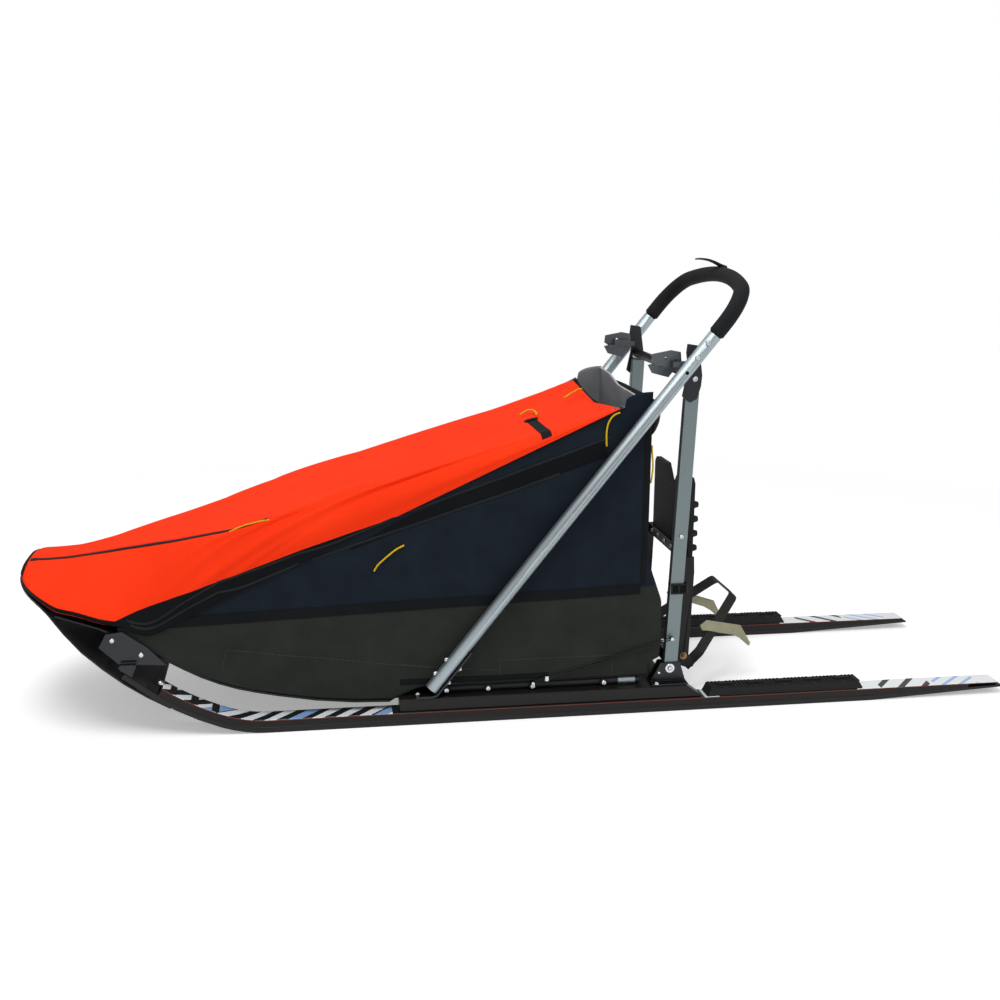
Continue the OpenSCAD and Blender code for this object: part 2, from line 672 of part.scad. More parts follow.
// Hoop outline in its own plane, [across, away from the pivot]
hoop_straight = 44;
hoop_r = 20;
hoop_back = 14;
hoop_lower = hoop_straight - hoop_back + hoop_r * sin(hoop_bend);
hoop_arm = (hoop_len - hoop_lower - hoop_r * (1 - sin(hoop_bend))) / cos(hoop_bend);
hoop_corner = hoop_lean_y - hoop_r * (1 - cos(hoop_bend)) - hoop_arm * sin(hoop_bend) - hoop_r * cos(hoop_bend);
hoop_line = walk([hoop_lean_y, -hoop_back], 90, [
    [hoop_straight, 0], [hoop_r, hoop_bend], [hoop_arm, 0], [hoop_r, 90 - hoop_bend], [2 * hoop_corner, 0],
    [hoop_r, 90 - hoop_bend], [hoop_arm, 0], [hoop_r, hoop_bend], [hoop_straight, 0]
]);

// Brings the hoop's plane [across, away, up from the plane] to its place on the sled
module in_hoop_plane() {
    translate([brake_pivot.x, 0, brake_pivot.y]) rotate([0, hoop_tilt, 0]) rotate([0, 0, 90])
        mirror([1, 0, 0]) children();
}

module brake_hoop() {
    color([0.05, 0.05, 0.05])
    difference() {
        in_hoop_plane() translate([0, 0, -hoop_w / 2]) linear_extrude(hoop_w)
            polygon(bar(hoop_line, -hoop_t / 2, hoop_t / 2));
        pin(brake_pivot, pin_d + 2 * pin_gap, -hinge_y, hinge_y);
    }
}

// A claw: a plate bolted to the outer face of the hoop's arm, with a hard tip that bites the snow
module claw() {
    color([0.54, 0.52, 0.42])
    in_hoop_plane()
    translate([hoop_lean_y - hoop_r * (1 - cos(hoop_bend)), hoop_lower, 0]) rotate([0, 0, hoop_bend])
        translate([hoop_t / 2 + fit + plate_t, 0, 0]) rotate([0, -90, 0]) linear_extrude(plate_t)
            polygon([[38, 44], [30, 68], [-56, 124], [-104, 108], [-106, 100], [-74, 98], [-54, 92], [26, 40]]);
}
// in_hoop_plane() draws the right claw
module claw_left() on_side("right") claw();
module claw_right() on_side("left") claw();

// Two arms and the bar that clamps the mat's lower edge
module mat_frame() {
    top = mat_bottom + clamp_h;
    x1 = mat_x + clamp_t;
    color([0.08, 0.08, 0.08]) {
        for (s = ["left", "right"]) on_side(s)
            difference() {
                union() {
                    pin(mat_pivot, 2 * eye_r, mat_arm_y, mat_arm_y + arm_t);
                    plate([[mat_pivot.x - eye_r, mat_pivot.y], [mat_pivot.x + eye_r, mat_pivot.y],
                           [x1 + 10, mat_bottom - 10], [x1 + 10, top], [x1 - 12, top], [x1 - 14, mat_bottom - 10]],
                          mat_arm_y, arm_t);
                }
                pin(mat_pivot, pin_d + 2 * pin_gap, mat_arm_y - 1, mat_arm_y + arm_t + 1);
            }
        translate([mat_x + fit, -mat_arm_y - 1, mat_bottom]) cube([clamp_t, 2 * mat_arm_y + 2, clamp_h]);
    }
}

// Rubber belt with rows of lugs and a notch in its upper edge
module drag_mat() {
    pitch_z = 35;
    pitch_y = 37.5;
    notch = 50;
    depth = 42;
    rows = floor((mat_top - depth - mat_bottom - clamp_h - 6) / pitch_z);
    color([0.07, 0.07, 0.07]) {
        translate([mat_x - mat_t, 0, 0]) rotate([90, 0, 90]) linear_extrude(mat_t)
            polygon([[-mat_half, mat_bottom], [mat_half, mat_bottom], [mat_half, mat_top - 12],
                     [mat_half - 12, mat_top], [notch, mat_top], [10, mat_top - depth], [-10, mat_top - depth],
                     [-notch, mat_top], [12 - mat_half, mat_top], [-mat_half, mat_top - 12]]);
        for (i = [0 : rows], j = [-3.5 : 3.5])
            translate([mat_x - mat_t + 0.5, j * pitch_y, mat_bottom + clamp_h + (i + 0.3) * pitch_z])
                rotate([0, -90, 0]) cylinder(d1 = 22, d2 = 13, h = lug_h + 0.5, $fn = 24);
    }
}

runner_left();
runner_right();
sole_left();
sole_right();
riser_left();
riser_right();
tread_left();
tread_right();
crossbars();
bed_sheet();
bow_sheet();
nose_bracket_left();
nose_bracket_right();
bed_rail_left();
bed_rail_right();
main_tube_left();
main_tube_right();
tube_foot_left();
tube_foot_right();
handlebar_loop();
handlebar_grip();
handlebar_horn();
upright_left();
upright_right();
upright_foot_left();
upright_foot_right();
top_joint_left();
top_joint_right();
cross_tube();
hook_holder_left();
hook_holder_right();
rear_crossmember();
hinge_plate_left();
hinge_plate_right();
stay_left();
stay_right();
bag_side_left();
bag_side_right();
bag_rear();
top_cover();
rear_pouch();
strap_left();
strap_right();
cover_pull_cord();
side_pull_cord();
corner_pull_cord();
hanging_pull_cord();
elastic_pull_cord();
far_pull_cord();
brake_hoop();
claw_left();
claw_right();
mat_frame();
drag_mat();
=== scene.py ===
"""Racing dog sled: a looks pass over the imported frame.

Millimetres in this file's tables and formulas, metres once a mesh is made.
+X points forward, +Y to the driver's left, +Z up.
"""
import bpy
import numpy as np
from mathutils import Matrix


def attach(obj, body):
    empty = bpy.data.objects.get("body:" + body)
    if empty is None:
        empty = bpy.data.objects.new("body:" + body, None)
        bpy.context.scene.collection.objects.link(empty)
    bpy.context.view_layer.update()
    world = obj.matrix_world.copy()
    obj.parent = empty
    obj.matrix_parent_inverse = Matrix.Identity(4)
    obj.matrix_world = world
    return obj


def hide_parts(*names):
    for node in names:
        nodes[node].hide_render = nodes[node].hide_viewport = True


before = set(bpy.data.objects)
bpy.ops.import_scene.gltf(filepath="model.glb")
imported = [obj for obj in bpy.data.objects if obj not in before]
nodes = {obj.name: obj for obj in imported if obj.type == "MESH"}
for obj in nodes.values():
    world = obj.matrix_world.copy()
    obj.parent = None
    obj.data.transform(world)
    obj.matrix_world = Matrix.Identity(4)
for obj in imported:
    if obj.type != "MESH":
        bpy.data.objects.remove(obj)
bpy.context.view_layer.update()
MM = 0.001

# ---- Driving sizes, in mm ----

GAUGE = 550            # over the runners
RUNNER_W = 50
SOLE_T, CORE_T = 12, 18
DECK_Z = SOLE_T + CORE_T
RISER_TOP = 59.5
TUBE_D, TUBE_Y = 30, 262
TUBE_FOOT = np.array([241.0, 79.0])
TUBE_LEN = 1005
TUBE_RAKE = np.radians(38.5)
TUBE_DIR = np.array([-np.sin(TUBE_RAKE), np.cos(TUBE_RAKE)])
TUBE_TOP = TUBE_FOOT + TUBE_LEN * TUBE_DIR
GRIP_D, LOOP_D = 36, 24
WALL_Y = 246           # outer face of the bag's side walls
FABRIC_T = 2.4
SEAM_FRONT, SEAM_REAR = np.array([847.0, 236.0]), np.array([-135.0, 692.0])
REAR_X = -255
SOLE_LINE_STEPS = [(1411, 0), (300, 20), (600, 15), (600, 3), (54, 0)]


# ---- Lines ----

def unit(v):
    """Vectors divided by their own length."""
    return v / np.linalg.norm(v, axis=-1, keepdims=True)


def smooth(low, high, x):
    """0 below low, 1 above high, and 3t^2 - 2t^3 between."""
    t = np.clip((x - low) / (high - low), 0, 1)
    return t * t * (3 - 2 * t)


def ridge(x, width):
    """A bell: exp(-(x / width)^2)."""
    return np.exp(-(x / width) ** 2)


def walk(start, heading, steps):
    """A line in the X-Z plane, as x, z and heading in degrees. A step (length, 0) is straight.
    On a step (radius, turn) the point goes round a centre one radius to the left of its heading,
    or to the right when the turn is negative."""
    here = np.array([*start, heading], float)
    line = [here[None]]
    for size, turn in steps:
        x, z, h = here
        a = np.radians(h)
        if turn == 0:
            run = np.linspace(0, size, 2 + int(size / 40))[1:]
            leg = np.stack([x + run * np.cos(a), z + run * np.sin(a), np.full(len(run), h)], 1)
        else:
            hs = h + np.linspace(0, turn, 2 + int(abs(turn)))[1:]
            r, b = np.sign(turn) * size, np.radians(hs)
            leg = np.stack([x - r * np.sin(a) + r * np.sin(b), z + r * np.cos(a) - r * np.cos(b), hs], 1)
        line.append(leg)
        here = leg[-1]
    return np.concatenate(line)


def beside(line, d):
    """A walked line moved to its left by d, each point along its own normal (-sin h, cos h)."""
    h = np.radians(line[:, 2])
    return np.stack([line[:, 0] - d * np.sin(h), line[:, 1] + d * np.cos(h)], 1)


def through(points, count):
    """Catmull-Rom curve through points along axis 0: on each span
    ((2p1) + (p2-p0)t + (2p0-5p1+4p2-p3)t^2 + (3p1-p0-3p2+p3)t^3) / 2."""
    p = np.asarray(points, float)
    p = np.concatenate([2 * p[:1] - p[1:2], p, 2 * p[-1:] - p[-2:-1]])
    u = np.linspace(0, len(p) - 3, count)
    i = np.minimum(u.astype(int), len(p) - 4)
    t = (u - i).reshape((-1,) + (1,) * (p.ndim - 1))
    a, b, c, d = p[i], p[i + 1], p[i + 2], p[i + 3]
    return 0.5 * (2 * b + (c - a) * t + (2 * a - 5 * b + 4 * c - d) * t ** 2 + (3 * b - a - 3 * c + d) * t ** 3)


def evenly(points, step):
    """The same polyline with points a step apart, by linear interpolation on its own length."""
    p = np.asarray(points, float)
    run = np.append(0, np.cumsum(np.linalg.norm(np.diff(p, axis=0), axis=1)))
    s = np.linspace(0, run[-1], max(2, int(run[-1] / step) + 1))
    return np.stack([np.interp(s, run, p[:, k]) for k in range(p.shape[1])], 1)


def at_y(line, y):
    """X-Z points set at distance y from the middle."""
    return np.stack([line[:, 0], np.full(len(line), float(y)), line[:, 1]], 1)


# ---- Surfaces: (points, corner indices, corners per face, UV per corner) ----

def skin(points, closed=False, caps=False):
    """Four-cornered faces over a grid of points (rows, columns). UV is the distance in metres
    run down the rows and along the middle row. closed joins the last column to the first,
    and caps closes the first and last rows."""
    rows, cols = points.shape[:2]
    r, c = np.meshgrid(np.arange(rows - 1), np.arange(cols if closed else cols - 1), indexing="ij")
    rr = np.stack([r, r, r + 1, r + 1], -1).ravel()
    cc = np.stack([c, c + 1, c + 1, c], -1).ravel()
    ring = points[rows // 2]
    ring = np.concatenate([ring, ring[:1]]) if closed else ring
    run = np.append(0, np.cumsum(np.linalg.norm(np.diff(points.mean(1), axis=0), axis=1)))
    girth = np.append(0, np.cumsum(np.linalg.norm(np.diff(ring, axis=0), axis=1)))
    corners, uv = rr * cols + cc % cols, np.stack([run[rr], girth[cc]], 1) * MM
    sizes = np.full(len(corners) // 4, 4)
    if caps:
        first = np.arange(cols)
        corners = np.concatenate([corners, first[::-1], (rows - 1) * cols + first])
        sizes = np.append(sizes, [cols, cols])
        uv = np.concatenate([uv, np.zeros((2 * cols, 2))])
    return points.reshape(-1, 3), corners, sizes, uv


def carry(path, outline, ref):
    """An outline (a, b) carried along a path: each point is path + a * side + b * up, where
    side = ref x tangent and up = tangent x side. The outline runs anticlockwise."""
    tangent = unit(np.gradient(path, axis=0))
    side = unit(np.cross(np.broadcast_to(np.asarray(ref, float), tangent.shape), tangent))
    up = np.cross(tangent, side)
    outline = np.broadcast_to(outline, (len(path),) + np.shape(outline)[-2:])
    return path[:, None] + outline[..., :1] * side[:, None] + outline[..., 1:] * up[:, None]


def circle(d, sides):
    """Points (cos, sin) of a circle of diameter d."""
    a = np.arange(sides) * 2 * np.pi / sides
    return np.stack([np.cos(a), np.sin(a)], 1) * d / 2


def eased(w, h, r):
    """A rectangle w by h about the origin whose corners are cut by r."""
    x, y = w / 2, h / 2
    return np.array([[x, -y + r], [x, y - r], [x - r, y], [-x + r, y],
                     [-x, y - r], [-x, -y + r], [-x + r, -y], [x - r, -y]])


def bar(path, d, ref, sides=20):
    """A round bar: a circle carried along a path."""
    return skin(carry(np.asarray(path, float), circle(d, sides), ref), closed=True, caps=True)


def turned(profile, sides=24):
    """A turned solid: profile points (radius, height) go round the Z axis, bottom to top."""
    p = np.asarray(profile, float)
    a = np.arange(sides) * 2 * np.pi / sides
    ring = np.stack([np.cos(a), np.sin(a), np.zeros(sides)], 1)
    return skin(p[:, None, :1] * ring + p[:, None, 1:] * np.array([0, 0, 1.0]), closed=True, caps=True)


def block(w, l, h, r):
    """A plate w by l and h high on the origin, with its upper edges eased by r."""
    rows = [(w / 2, l / 2, 0), (w / 2, l / 2, h - r), (w / 2 - r, l / 2 - r, h)]
    return skin(np.array([[[x, -y, z], [x, y, z], [-x, y, z], [-x, -y, z]] for x, y, z in rows]),
                closed=True, caps=True)


def join(surfaces):
    """Several surfaces as one, with their corner indices moved past those before."""
    surfaces = list(surfaces)
    base = np.cumsum([0] + [len(s[0]) for s in surfaces[:-1]])
    return (np.concatenate([s[0] for s in surfaces]),
            np.concatenate([s[1] + b for s, b in zip(surfaces, base)]),
            np.concatenate([s[2] for s in surfaces]), np.concatenate([s[3] for s in surfaces]))


def scatter(surface, places, axes, turn=0.0):
    """Copies of a surface with its Z axis along each axis: place + x * u + y * v + z * axis,
    where u is level unless the axis is upright. turn spins it about the axis first."""
    points, corners, sizes, uv = surface
    places, w = np.atleast_2d(places).astype(float), unit(np.atleast_2d(axes).astype(float))
    w = np.broadcast_to(w, places.shape)
    upright = np.abs(w[:, 2:]) > 0.99
    u = unit(np.cross(np.where(upright, [0.0, 1.0, 0.0], [0.0, 0.0, 1.0]), w))
    v = np.cross(w, u)
    c, s = np.cos(turn), np.sin(turn)
    x, y, z = points[:, 0] * c - points[:, 1] * s, points[:, 0] * s + points[:, 1] * c, points[:, 2]
    out = (places[:, None] + x[None, :, None] * u[:, None] + y[None, :, None] * v[:, None]
           + z[None, :, None] * w[:, None])
    n = len(places)
    return (out.reshape(-1, 3), (corners[None] + (np.arange(n) * len(points))[:, None]).ravel(),
            np.tile(sizes, n), np.tile(uv, (n, 1)))


def mirrored(surface):
    """The same surface on the other side, y to -y, with each face's corners in reverse order."""
    points, corners, sizes, uv = surface
    starts = np.repeat(np.cumsum(sizes) - sizes, sizes)
    order = 2 * starts + np.repeat(sizes, sizes) - 1 - np.arange(len(corners))
    return points * [1, -1, 1], corners[order], sizes, uv[order]


def make(name, surface, finish, slot, body="sled", crease=35, smooth_all=False):
    """A mesh object from a surface, in metres, on a body of the frame."""
    points, corners, sizes, uv = surface
    mesh = bpy.data.meshes.new(name)
    mesh.vertices.add(len(points))
    mesh.vertices.foreach_set("co", (points * MM).astype(np.float32).ravel())
    mesh.loops.add(len(corners))
    mesh.loops.foreach_set("vertex_index", corners.astype(np.int32))
    mesh.polygons.add(len(sizes))
    mesh.polygons.foreach_set("loop_start", (np.cumsum(sizes) - sizes).astype(np.int32))
    mesh.uv_layers.new(name="UVMap").uv.foreach_set("vector", uv.astype(np.float32).ravel())
    mesh.update(calc_edges=True)
    mesh.validate()
    mesh.materials.append(finish)
    mesh.shade_smooth()
    if not smooth_all:
        mesh.set_sharp_from_angle(angle=np.radians(crease))
    obj = bpy.data.objects.new(name, mesh)
    bpy.context.scene.collection.objects.link(obj)
    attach(obj, body)
    return obj


def make_pair(name, surface, finish, slot, body="sled", **how):
    """The left piece and its mirror image on the right."""
    return [make(name + "_left", surface, finish, slot, body, **how),
            make(name + "_right", mirrored(surface), finish, slot, body, **how)]


def thicken(obj, t, inner=None):
    """Gives a sheet its thickness, inwards from the face that was drawn."""
    mod = obj.modifiers.new("thickness", "SOLIDIFY")
    mod.thickness, mod.offset = t * MM, -1
    if inner:
        obj.data.materials.append(inner)
        mod.material_offset = 1
    return obj


# ---- Materials ----

def linear(code):
    """sRGB hex to linear: c / 12.92 below 0.04045, else ((c + 0.055) / 1.055)^2.4."""
    c = np.array([int(code[i:i + 2], 16) / 255 for i in (0, 2, 4)])
    return (*np.where(c < 0.04045, c / 12.92, ((c + 0.055) / 1.055) ** 2.4), 1.0)


def add(tree, kind, inputs=(), **settings):
    """One shader node. Sockets among the inputs are linked, other values are set."""
    node = tree.nodes.new("ShaderNode" + kind)
    for key, value in settings.items():
        setattr(node, key, value)
    for key, value in dict(inputs).items():
        if isinstance(value, bpy.types.NodeSocket):
            tree.links.new(value, node.inputs[key])
        else:
            node.inputs[key].default_value = value
    return node


def start(name, color, roughness, **sockets):
    """A material with one Principled shader; returns it, its tree and the shader."""
    mat = bpy.data.materials.new(name)
    mat.use_nodes = True
    tree = mat.node_tree
    shader = tree.nodes["Principled BSDF"]
    shader.inputs["Base Color"].default_value = linear(color)
    shader.inputs["Roughness"].default_value = roughness
    shader.inputs["Specular IOR Level"].default_value = 0.25
    for key, value in sockets.items():
        shader.inputs[key.replace("_", " ")].default_value = value
    return mat, tree, shader


def grain(tree, shader, size_mm, depth_mm, stretch=(1, 1, 1), detail=2.0, space="Object"):
    """Fine bumps of one size, by noise on object or UV coordinates, and the noise itself."""
    where = add(tree, "TexCoord").outputs[space]
    where = add(tree, "Mapping", {0: where, "Scale": stretch}).outputs[0]
    noise = add(tree, "TexNoise", {"Vector": where, "Scale": 1000 / size_mm, "Detail": detail}).outputs[0]
    bump = add(tree, "Bump", {"Height": noise, "Distance": depth_mm * MM, "Strength": 1.0})
    tree.links.new(bump.outputs[0], shader.inputs["Normal"])
    return noise


def tint(tree, shader, fac, low, high):
    """Base colour between two hex colours, by a factor."""
    mix = add(tree, "Mix", {0: fac, 6: linear(low), 7: linear(high)}, data_type="RGBA")
    tree.links.new(mix.outputs[2], shader.inputs["Base Color"])


def plain(name, color, roughness, size_mm, depth_mm, low=None, stretch=(1, 1, 1), **sockets):
    """A material with one grain, its colour varied by the same noise when low is given."""
    mat, tree, shader = start(name, color, roughness, **sockets)
    noise = grain(tree, shader, size_mm, depth_mm, stretch)
    if low:
        tint(tree, shader, noise, low, color)
    return mat


def woven(name, color, low, thread_mm, roughness=0.75, depth_mm=0.12, cloud_mm=60):
    """Plain weave: the product of two sine waves a thread apart on the UV map, over a soft
    cloud between two shades."""
    mat, tree, shader = start(name, color, roughness, Specular_IOR_Level=0.08)
    uv = add(tree, "TexCoord").outputs["UV"]
    waves = [add(tree, "TexWave", {"Vector": uv, "Scale": 1000 / thread_mm / 6.2832 * 2}, bands_direction=d)
             for d in ("X", "Y")]
    both = add(tree, "Math", {0: waves[0].outputs[1], 1: waves[1].outputs[1]}, operation="MULTIPLY")
    bump = add(tree, "Bump", {"Height": both.outputs[0], "Distance": depth_mm * MM, "Strength": 1.0})
    tree.links.new(bump.outputs[0], shader.inputs["Normal"])
    cloud = add(tree, "TexNoise", {"Vector": add(tree, "TexCoord").outputs["Object"],
                                   "Scale": 1000 / cloud_mm, "Detail": 3.0}).outputs[0]
    tint(tree, shader, cloud, low, color)
    return mat


def metal(name, color, roughness, size_mm=0.6, depth_mm=0.01, stretch=(1, 1, 1)):
    """A metal with its surface marks as fine grain."""
    return plain(name, color, roughness, size_mm, depth_mm, stretch=stretch, Metallic=1.0, Specular_IOR_Level=0.5)


# Fibre-reinforced laminate edge, sawn and sealed: near black with a brown cast, half gloss
laminate_edge = plain("laminate_edge", "1E1A18", 0.38, 0.8, 0.02, low="14110F", stretch=(0.1, 1, 1))
# Red-brown vulcanised fibre strip between the top sheet and the core: a thin dull line
fibre_strip = plain("vulcanised_fibre", "7A3322", 0.5, 0.5, 0.01)
# Sintered polyethylene, planed: dark grey, faint streaks along its length
polyethylene = plain("sintered_polyethylene", "262728", 0.42, 1.2, 0.03, low="1B1C1D", stretch=(0.08, 1, 1))
# Extruded black polyethylene sheet: slightly waxy
bed_plastic = plain("extruded_polyethylene_sheet", "1B1D1F", 0.36, 3.0, 0.04, low="151617")
# Black powder coat on aluminium: fine orange peel
powder_coat = plain("black_powder_coat", "1D1B1A", 0.34, 1.5, 0.03, low="161413")
# Black anodised aluminium plate: darker than the coat, silky
black_anodised = metal("black_anodised_aluminium", "3A3B3E", 0.42)
# Nose plates: thick black composite under clear coat, which mirrors the room
nose_plate = plain("clear_coated_composite", "12151C", 0.2, 2.0, 0.01, Coat_Weight=0.35, Coat_Roughness=0.08)
# Satin clear anodised aluminium tube, drawn: cool grey, streaks round the tube
satin_tube = metal("satin_anodised_aluminium", "A9B4B9", 0.5, 1.6, 0.002)
# Bead-blasted and anodised aluminium: flat mid grey
matt_tube = metal("bead_blasted_aluminium", "7E898B", 0.5, 0.5, 0.015)
# Dark grey hard anodised plate
hard_anodised = metal("hard_anodised_plate", "65696D", 0.4)
# Closed-cell foam rubber sleeve: open pores, no shine
foam_rubber = plain("closed_cell_foam", "17191C", 0.82, 1.1, 0.12, low="0E1012")
# Glass-filled nylon, moulded: black with a soft shine
moulded_nylon = plain("moulded_nylon", "141516", 0.4, 0.8, 0.02)
# Moulded rubber with a mould-textured face
moulded_rubber = plain("moulded_rubber", "1B1C1D", 0.62, 1.2, 0.08, low="121314")
# Coated nylon pack cloth, black-navy: tight weave, dull
pack_cloth = woven("coated_nylon_navy", "1D2630", "121920", 1.0, 0.7)
# Heavier coated nylon of the lower panel: dark warm grey
base_cloth = woven("coated_nylon_dark_grey", "313431", "232622", 1.4, 0.75)
# Uncoated inner face of the cloth: paler grey
lining = woven("nylon_lining", "85878A", "727477", 1.0, 0.8)
# Black nylon tape and panels
black_cloth = woven("black_nylon_cloth", "111315", "0A0B0D", 0.9, 0.66)
# Polyester cover cloth, dyed orange-red: dense fine weave that glows where it faces the light
# The black band sewn along its lower edge in front is the same weave
cover_cloth = woven("dyed_polyester", "FF3C14", "F2320C", 0.8, 0.8, 0.06, 140)
# Nylon webbing, ribbed across
webbing = woven("nylon_webbing", "17191B", "0D0E10", 2.2, 0.6, 0.3)
# Braided polypropylene cord, yellow
braid = woven("braided_polypropylene", "E8C020", "CFA30C", 1.6, 0.6, 0.3)
# Coil zip in dark nylon: small ribs across
zip_coil = woven("nylon_coil_zip", "2A2C2E", "1B1C1E", 1.5, 0.45, 0.4)
# Yellow zinc passivated steel, worn to grey
zinc_plate = plain("passivated_zinc", "A39F7C", 0.38, 14.0, 0.02, low="86877A", Metallic=1.0, Specular_IOR_Level=0.5)
# Bright zinc plated bolts
bright_steel = metal("bright_zinc_plate", "D3D6D8", 0.24)
# Bronze-coloured passivated hinge bolts
bronze_zinc = metal("bronze_passivate", "8F7A5A", 0.34)
# Tungsten carbide tips: dark, hard shine
carbide = metal("tungsten_carbide", "55585A", 0.3)
# Black rubber washers
washer_rubber = plain("washer_rubber", "101112", 0.6, 0.6, 0.02)
# Bare steel wire in a black sleeve
sleeved_wire = plain("pvc_sleeved_wire", "0F1011", 0.35, 1.0, 0.01)
# Polyester piping, light grey
piping_cloth = woven("polyester_piping", "B9BDBE", "A2A6A8", 1.0)
# Bonded polyester thread
thread = plain("bonded_thread", "4A5056", 0.6, 0.5, 0.01)


def sew_band(mat, lines, code):
    """Turns a material to another colour below the lowest of some straight lines, each the
    height z0 at x0 and its slope, in mm on object coordinates."""
    tree = mat.node_tree
    color = tree.nodes["Principled BSDF"].inputs["Base Color"]
    split = add(tree, "SeparateXYZ", {0: add(tree, "TexCoord").outputs["Object"]})
    height = [add(tree, "Math", {0: split.outputs[0], 1: slope, 2: (z0 - slope * x0) * MM},
                  operation="MULTIPLY_ADD").outputs[0] for x0, z0, slope in lines]
    lowest = add(tree, "Math", {0: height[0], 1: height[1]}, operation="MINIMUM").outputs[0]
    below = add(tree, "Math", {0: split.outputs[2], 1: lowest}, operation="LESS_THAN").outputs[0]
    mix = add(tree, "Mix", {0: below, 6: color.links[0].from_socket, 7: linear(code)}, data_type="RGBA")
    tree.links.new(mix.outputs[2], color)


def printed_sheet():
    """Ski top sheet: clear film over a print. On the UV map u runs along the runner and v
    across it. A slanted band shows where frac((u + slant * v + shift) / pitch) is under its
    share. The tail is white, and the front is black with pale and blue dashes."""
    mat, tree, shader = start("printed_top_sheet", "F3F6F8", 0.22, Coat_Weight=0.4, Coat_Roughness=0.05)
    split = add(tree, "SeparateXYZ", {0: add(tree, "TexCoord").outputs["UV"]})
    u, v = split.outputs[0], split.outputs[1]

    def math(operation, a, b):
        return add(tree, "Math", {0: a, 1: b}, operation=operation).outputs[0]

    def bands(pitch, slant, share, first, last, shift=0.0):
        phase = math("FRACT", math("DIVIDE", math("ADD", math("ADD", u, math("MULTIPLY", v, slant)), shift), pitch), 0)
        inside = math("MULTIPLY", math("GREATER_THAN", u, first), math("LESS_THAN", u, last))
        return math("MULTIPLY", math("LESS_THAN", phase, share), inside)
    layers = [(bands(0.045, 1.2, 0.3, 0.05, 0.16), "9FC3F0"), (bands(0.06, 0.9, 0.3, 0.17, 0.3), "17191C"),
              (bands(9.0, 0.0, 1.0, 0.36, 2.6), "15171A"), (bands(0.052, 0.9, 0.5, 1.46, 2.02), "E9EEF2"),
              (bands(0.19, 0.9, 0.16, 1.46, 2.02, 0.05), "86ACDD"), (bands(9.0, 0.0, 1.0, 0.70, 0.735), "DCE4EC")]
    color = add(tree, "RGB").outputs[0]
    color.default_value = linear("F3F6F8")
    for share, code in layers:
        color = add(tree, "Mix", {0: share, 6: color, 7: linear(code)}, data_type="RGBA").outputs[2]
    tree.links.new(color, shader.inputs["Base Color"])
    return mat


top_sheet = printed_sheet()
sew_band(cover_cloth, [(307, 478, -0.3272), (524, 407, -0.3636)], "111315")

# Finish of each CAD node that stays, and the width of its eased edges in mm
CAD_FINISH = {
    "runner": (laminate_edge, 0.8), "sole": (polyethylene, 0.8), "riser": (powder_coat, 2.2),
    "tread": (moulded_rubber, 1.5), "crossbars": (powder_coat, 1.5), "bed_sheet": (bed_plastic, 0),
    "bow_sheet": (bed_plastic, 0), "nose_bracket": (nose_plate, 1.0), "bed_rail": (polyethylene, 0.8),
    "main_tube": (satin_tube, 0.4), "tube_foot": (black_anodised, 0.8), "upright": (matt_tube, 2.0),
    "upright_foot": (black_anodised, 1.0), "top_joint": (black_anodised, 1.0), "cross_tube": (powder_coat, 0.6),
    "hook_holder": (hard_anodised, 0.8), "rear_crossmember": (powder_coat, 1.5),
    "hinge_plate": (black_anodised, 0.8), "brake_hoop": (powder_coat, 0.8), "claw": (zinc_plate, 0.5),
    "mat_frame": (powder_coat, 1.0), "drag_mat": (moulded_rubber, 1.0),
}


def finish_cad():
    """Gives each CAD node its material, and eases its sharp edges by a bevel."""
    for name, obj in nodes.items():
        stem = name.replace("_left", "").replace("_right", "")
        if stem not in CAD_FINISH:
            continue
        material, edge = CAD_FINISH[stem]
        obj.data.materials.clear()
        obj.data.materials.append(material)
        if edge:
            weld = obj.modifiers.new("weld", "WELD")
            weld.merge_threshold = 0.01 * MM
            bevel = obj.modifiers.new("eased edges", "BEVEL")
            bevel.width, bevel.segments = edge * MM, 2
            bevel.limit_method, bevel.angle_limit = "ANGLE", np.radians(40)
            bevel.harden_normals = True


# ---- Runners ----

def runner_lines():
    """Top sheet and fibre strip: outlines carried along the core's top line, which is walked
    from the tail to the tip and moved up by the runner's height."""
    line = walk((-1131, 0), 0, [(1732, 0), (300, 20), (600, 15)])
    top = at_y(evenly(beside(line, DECK_Z), 12), GAUGE / 2 - RUNNER_W / 2)
    sheet = skin(carry(top, eased(RUNNER_W + 0.4, 1.3, 0.4) + [0, -0.2], (0, 0, 1)), closed=True, caps=True)
    strip = skin(carry(top, eased(RUNNER_W + 1.0, 1.5, 0.3) + [0, -1.7], (0, 0, 1)), closed=True, caps=True)
    make_pair("top_sheet", sheet, top_sheet, "runner_top_sheet")
    make_pair("fibre_line", strip, fibre_strip, "runner_top_sheet")
    joint = walk((-810, 0), 0, SOLE_LINE_STEPS[:3])
    rail = at_y(evenly(beside(joint, SOLE_T), 12), GAUGE / 2 - RUNNER_W / 2)
    make_pair("sole_rail", skin(carry(rail, eased(RUNNER_W + 1.2, 2.6, 0.5), (0, 0, 1)), closed=True, caps=True),
              laminate_edge, "runner_base")


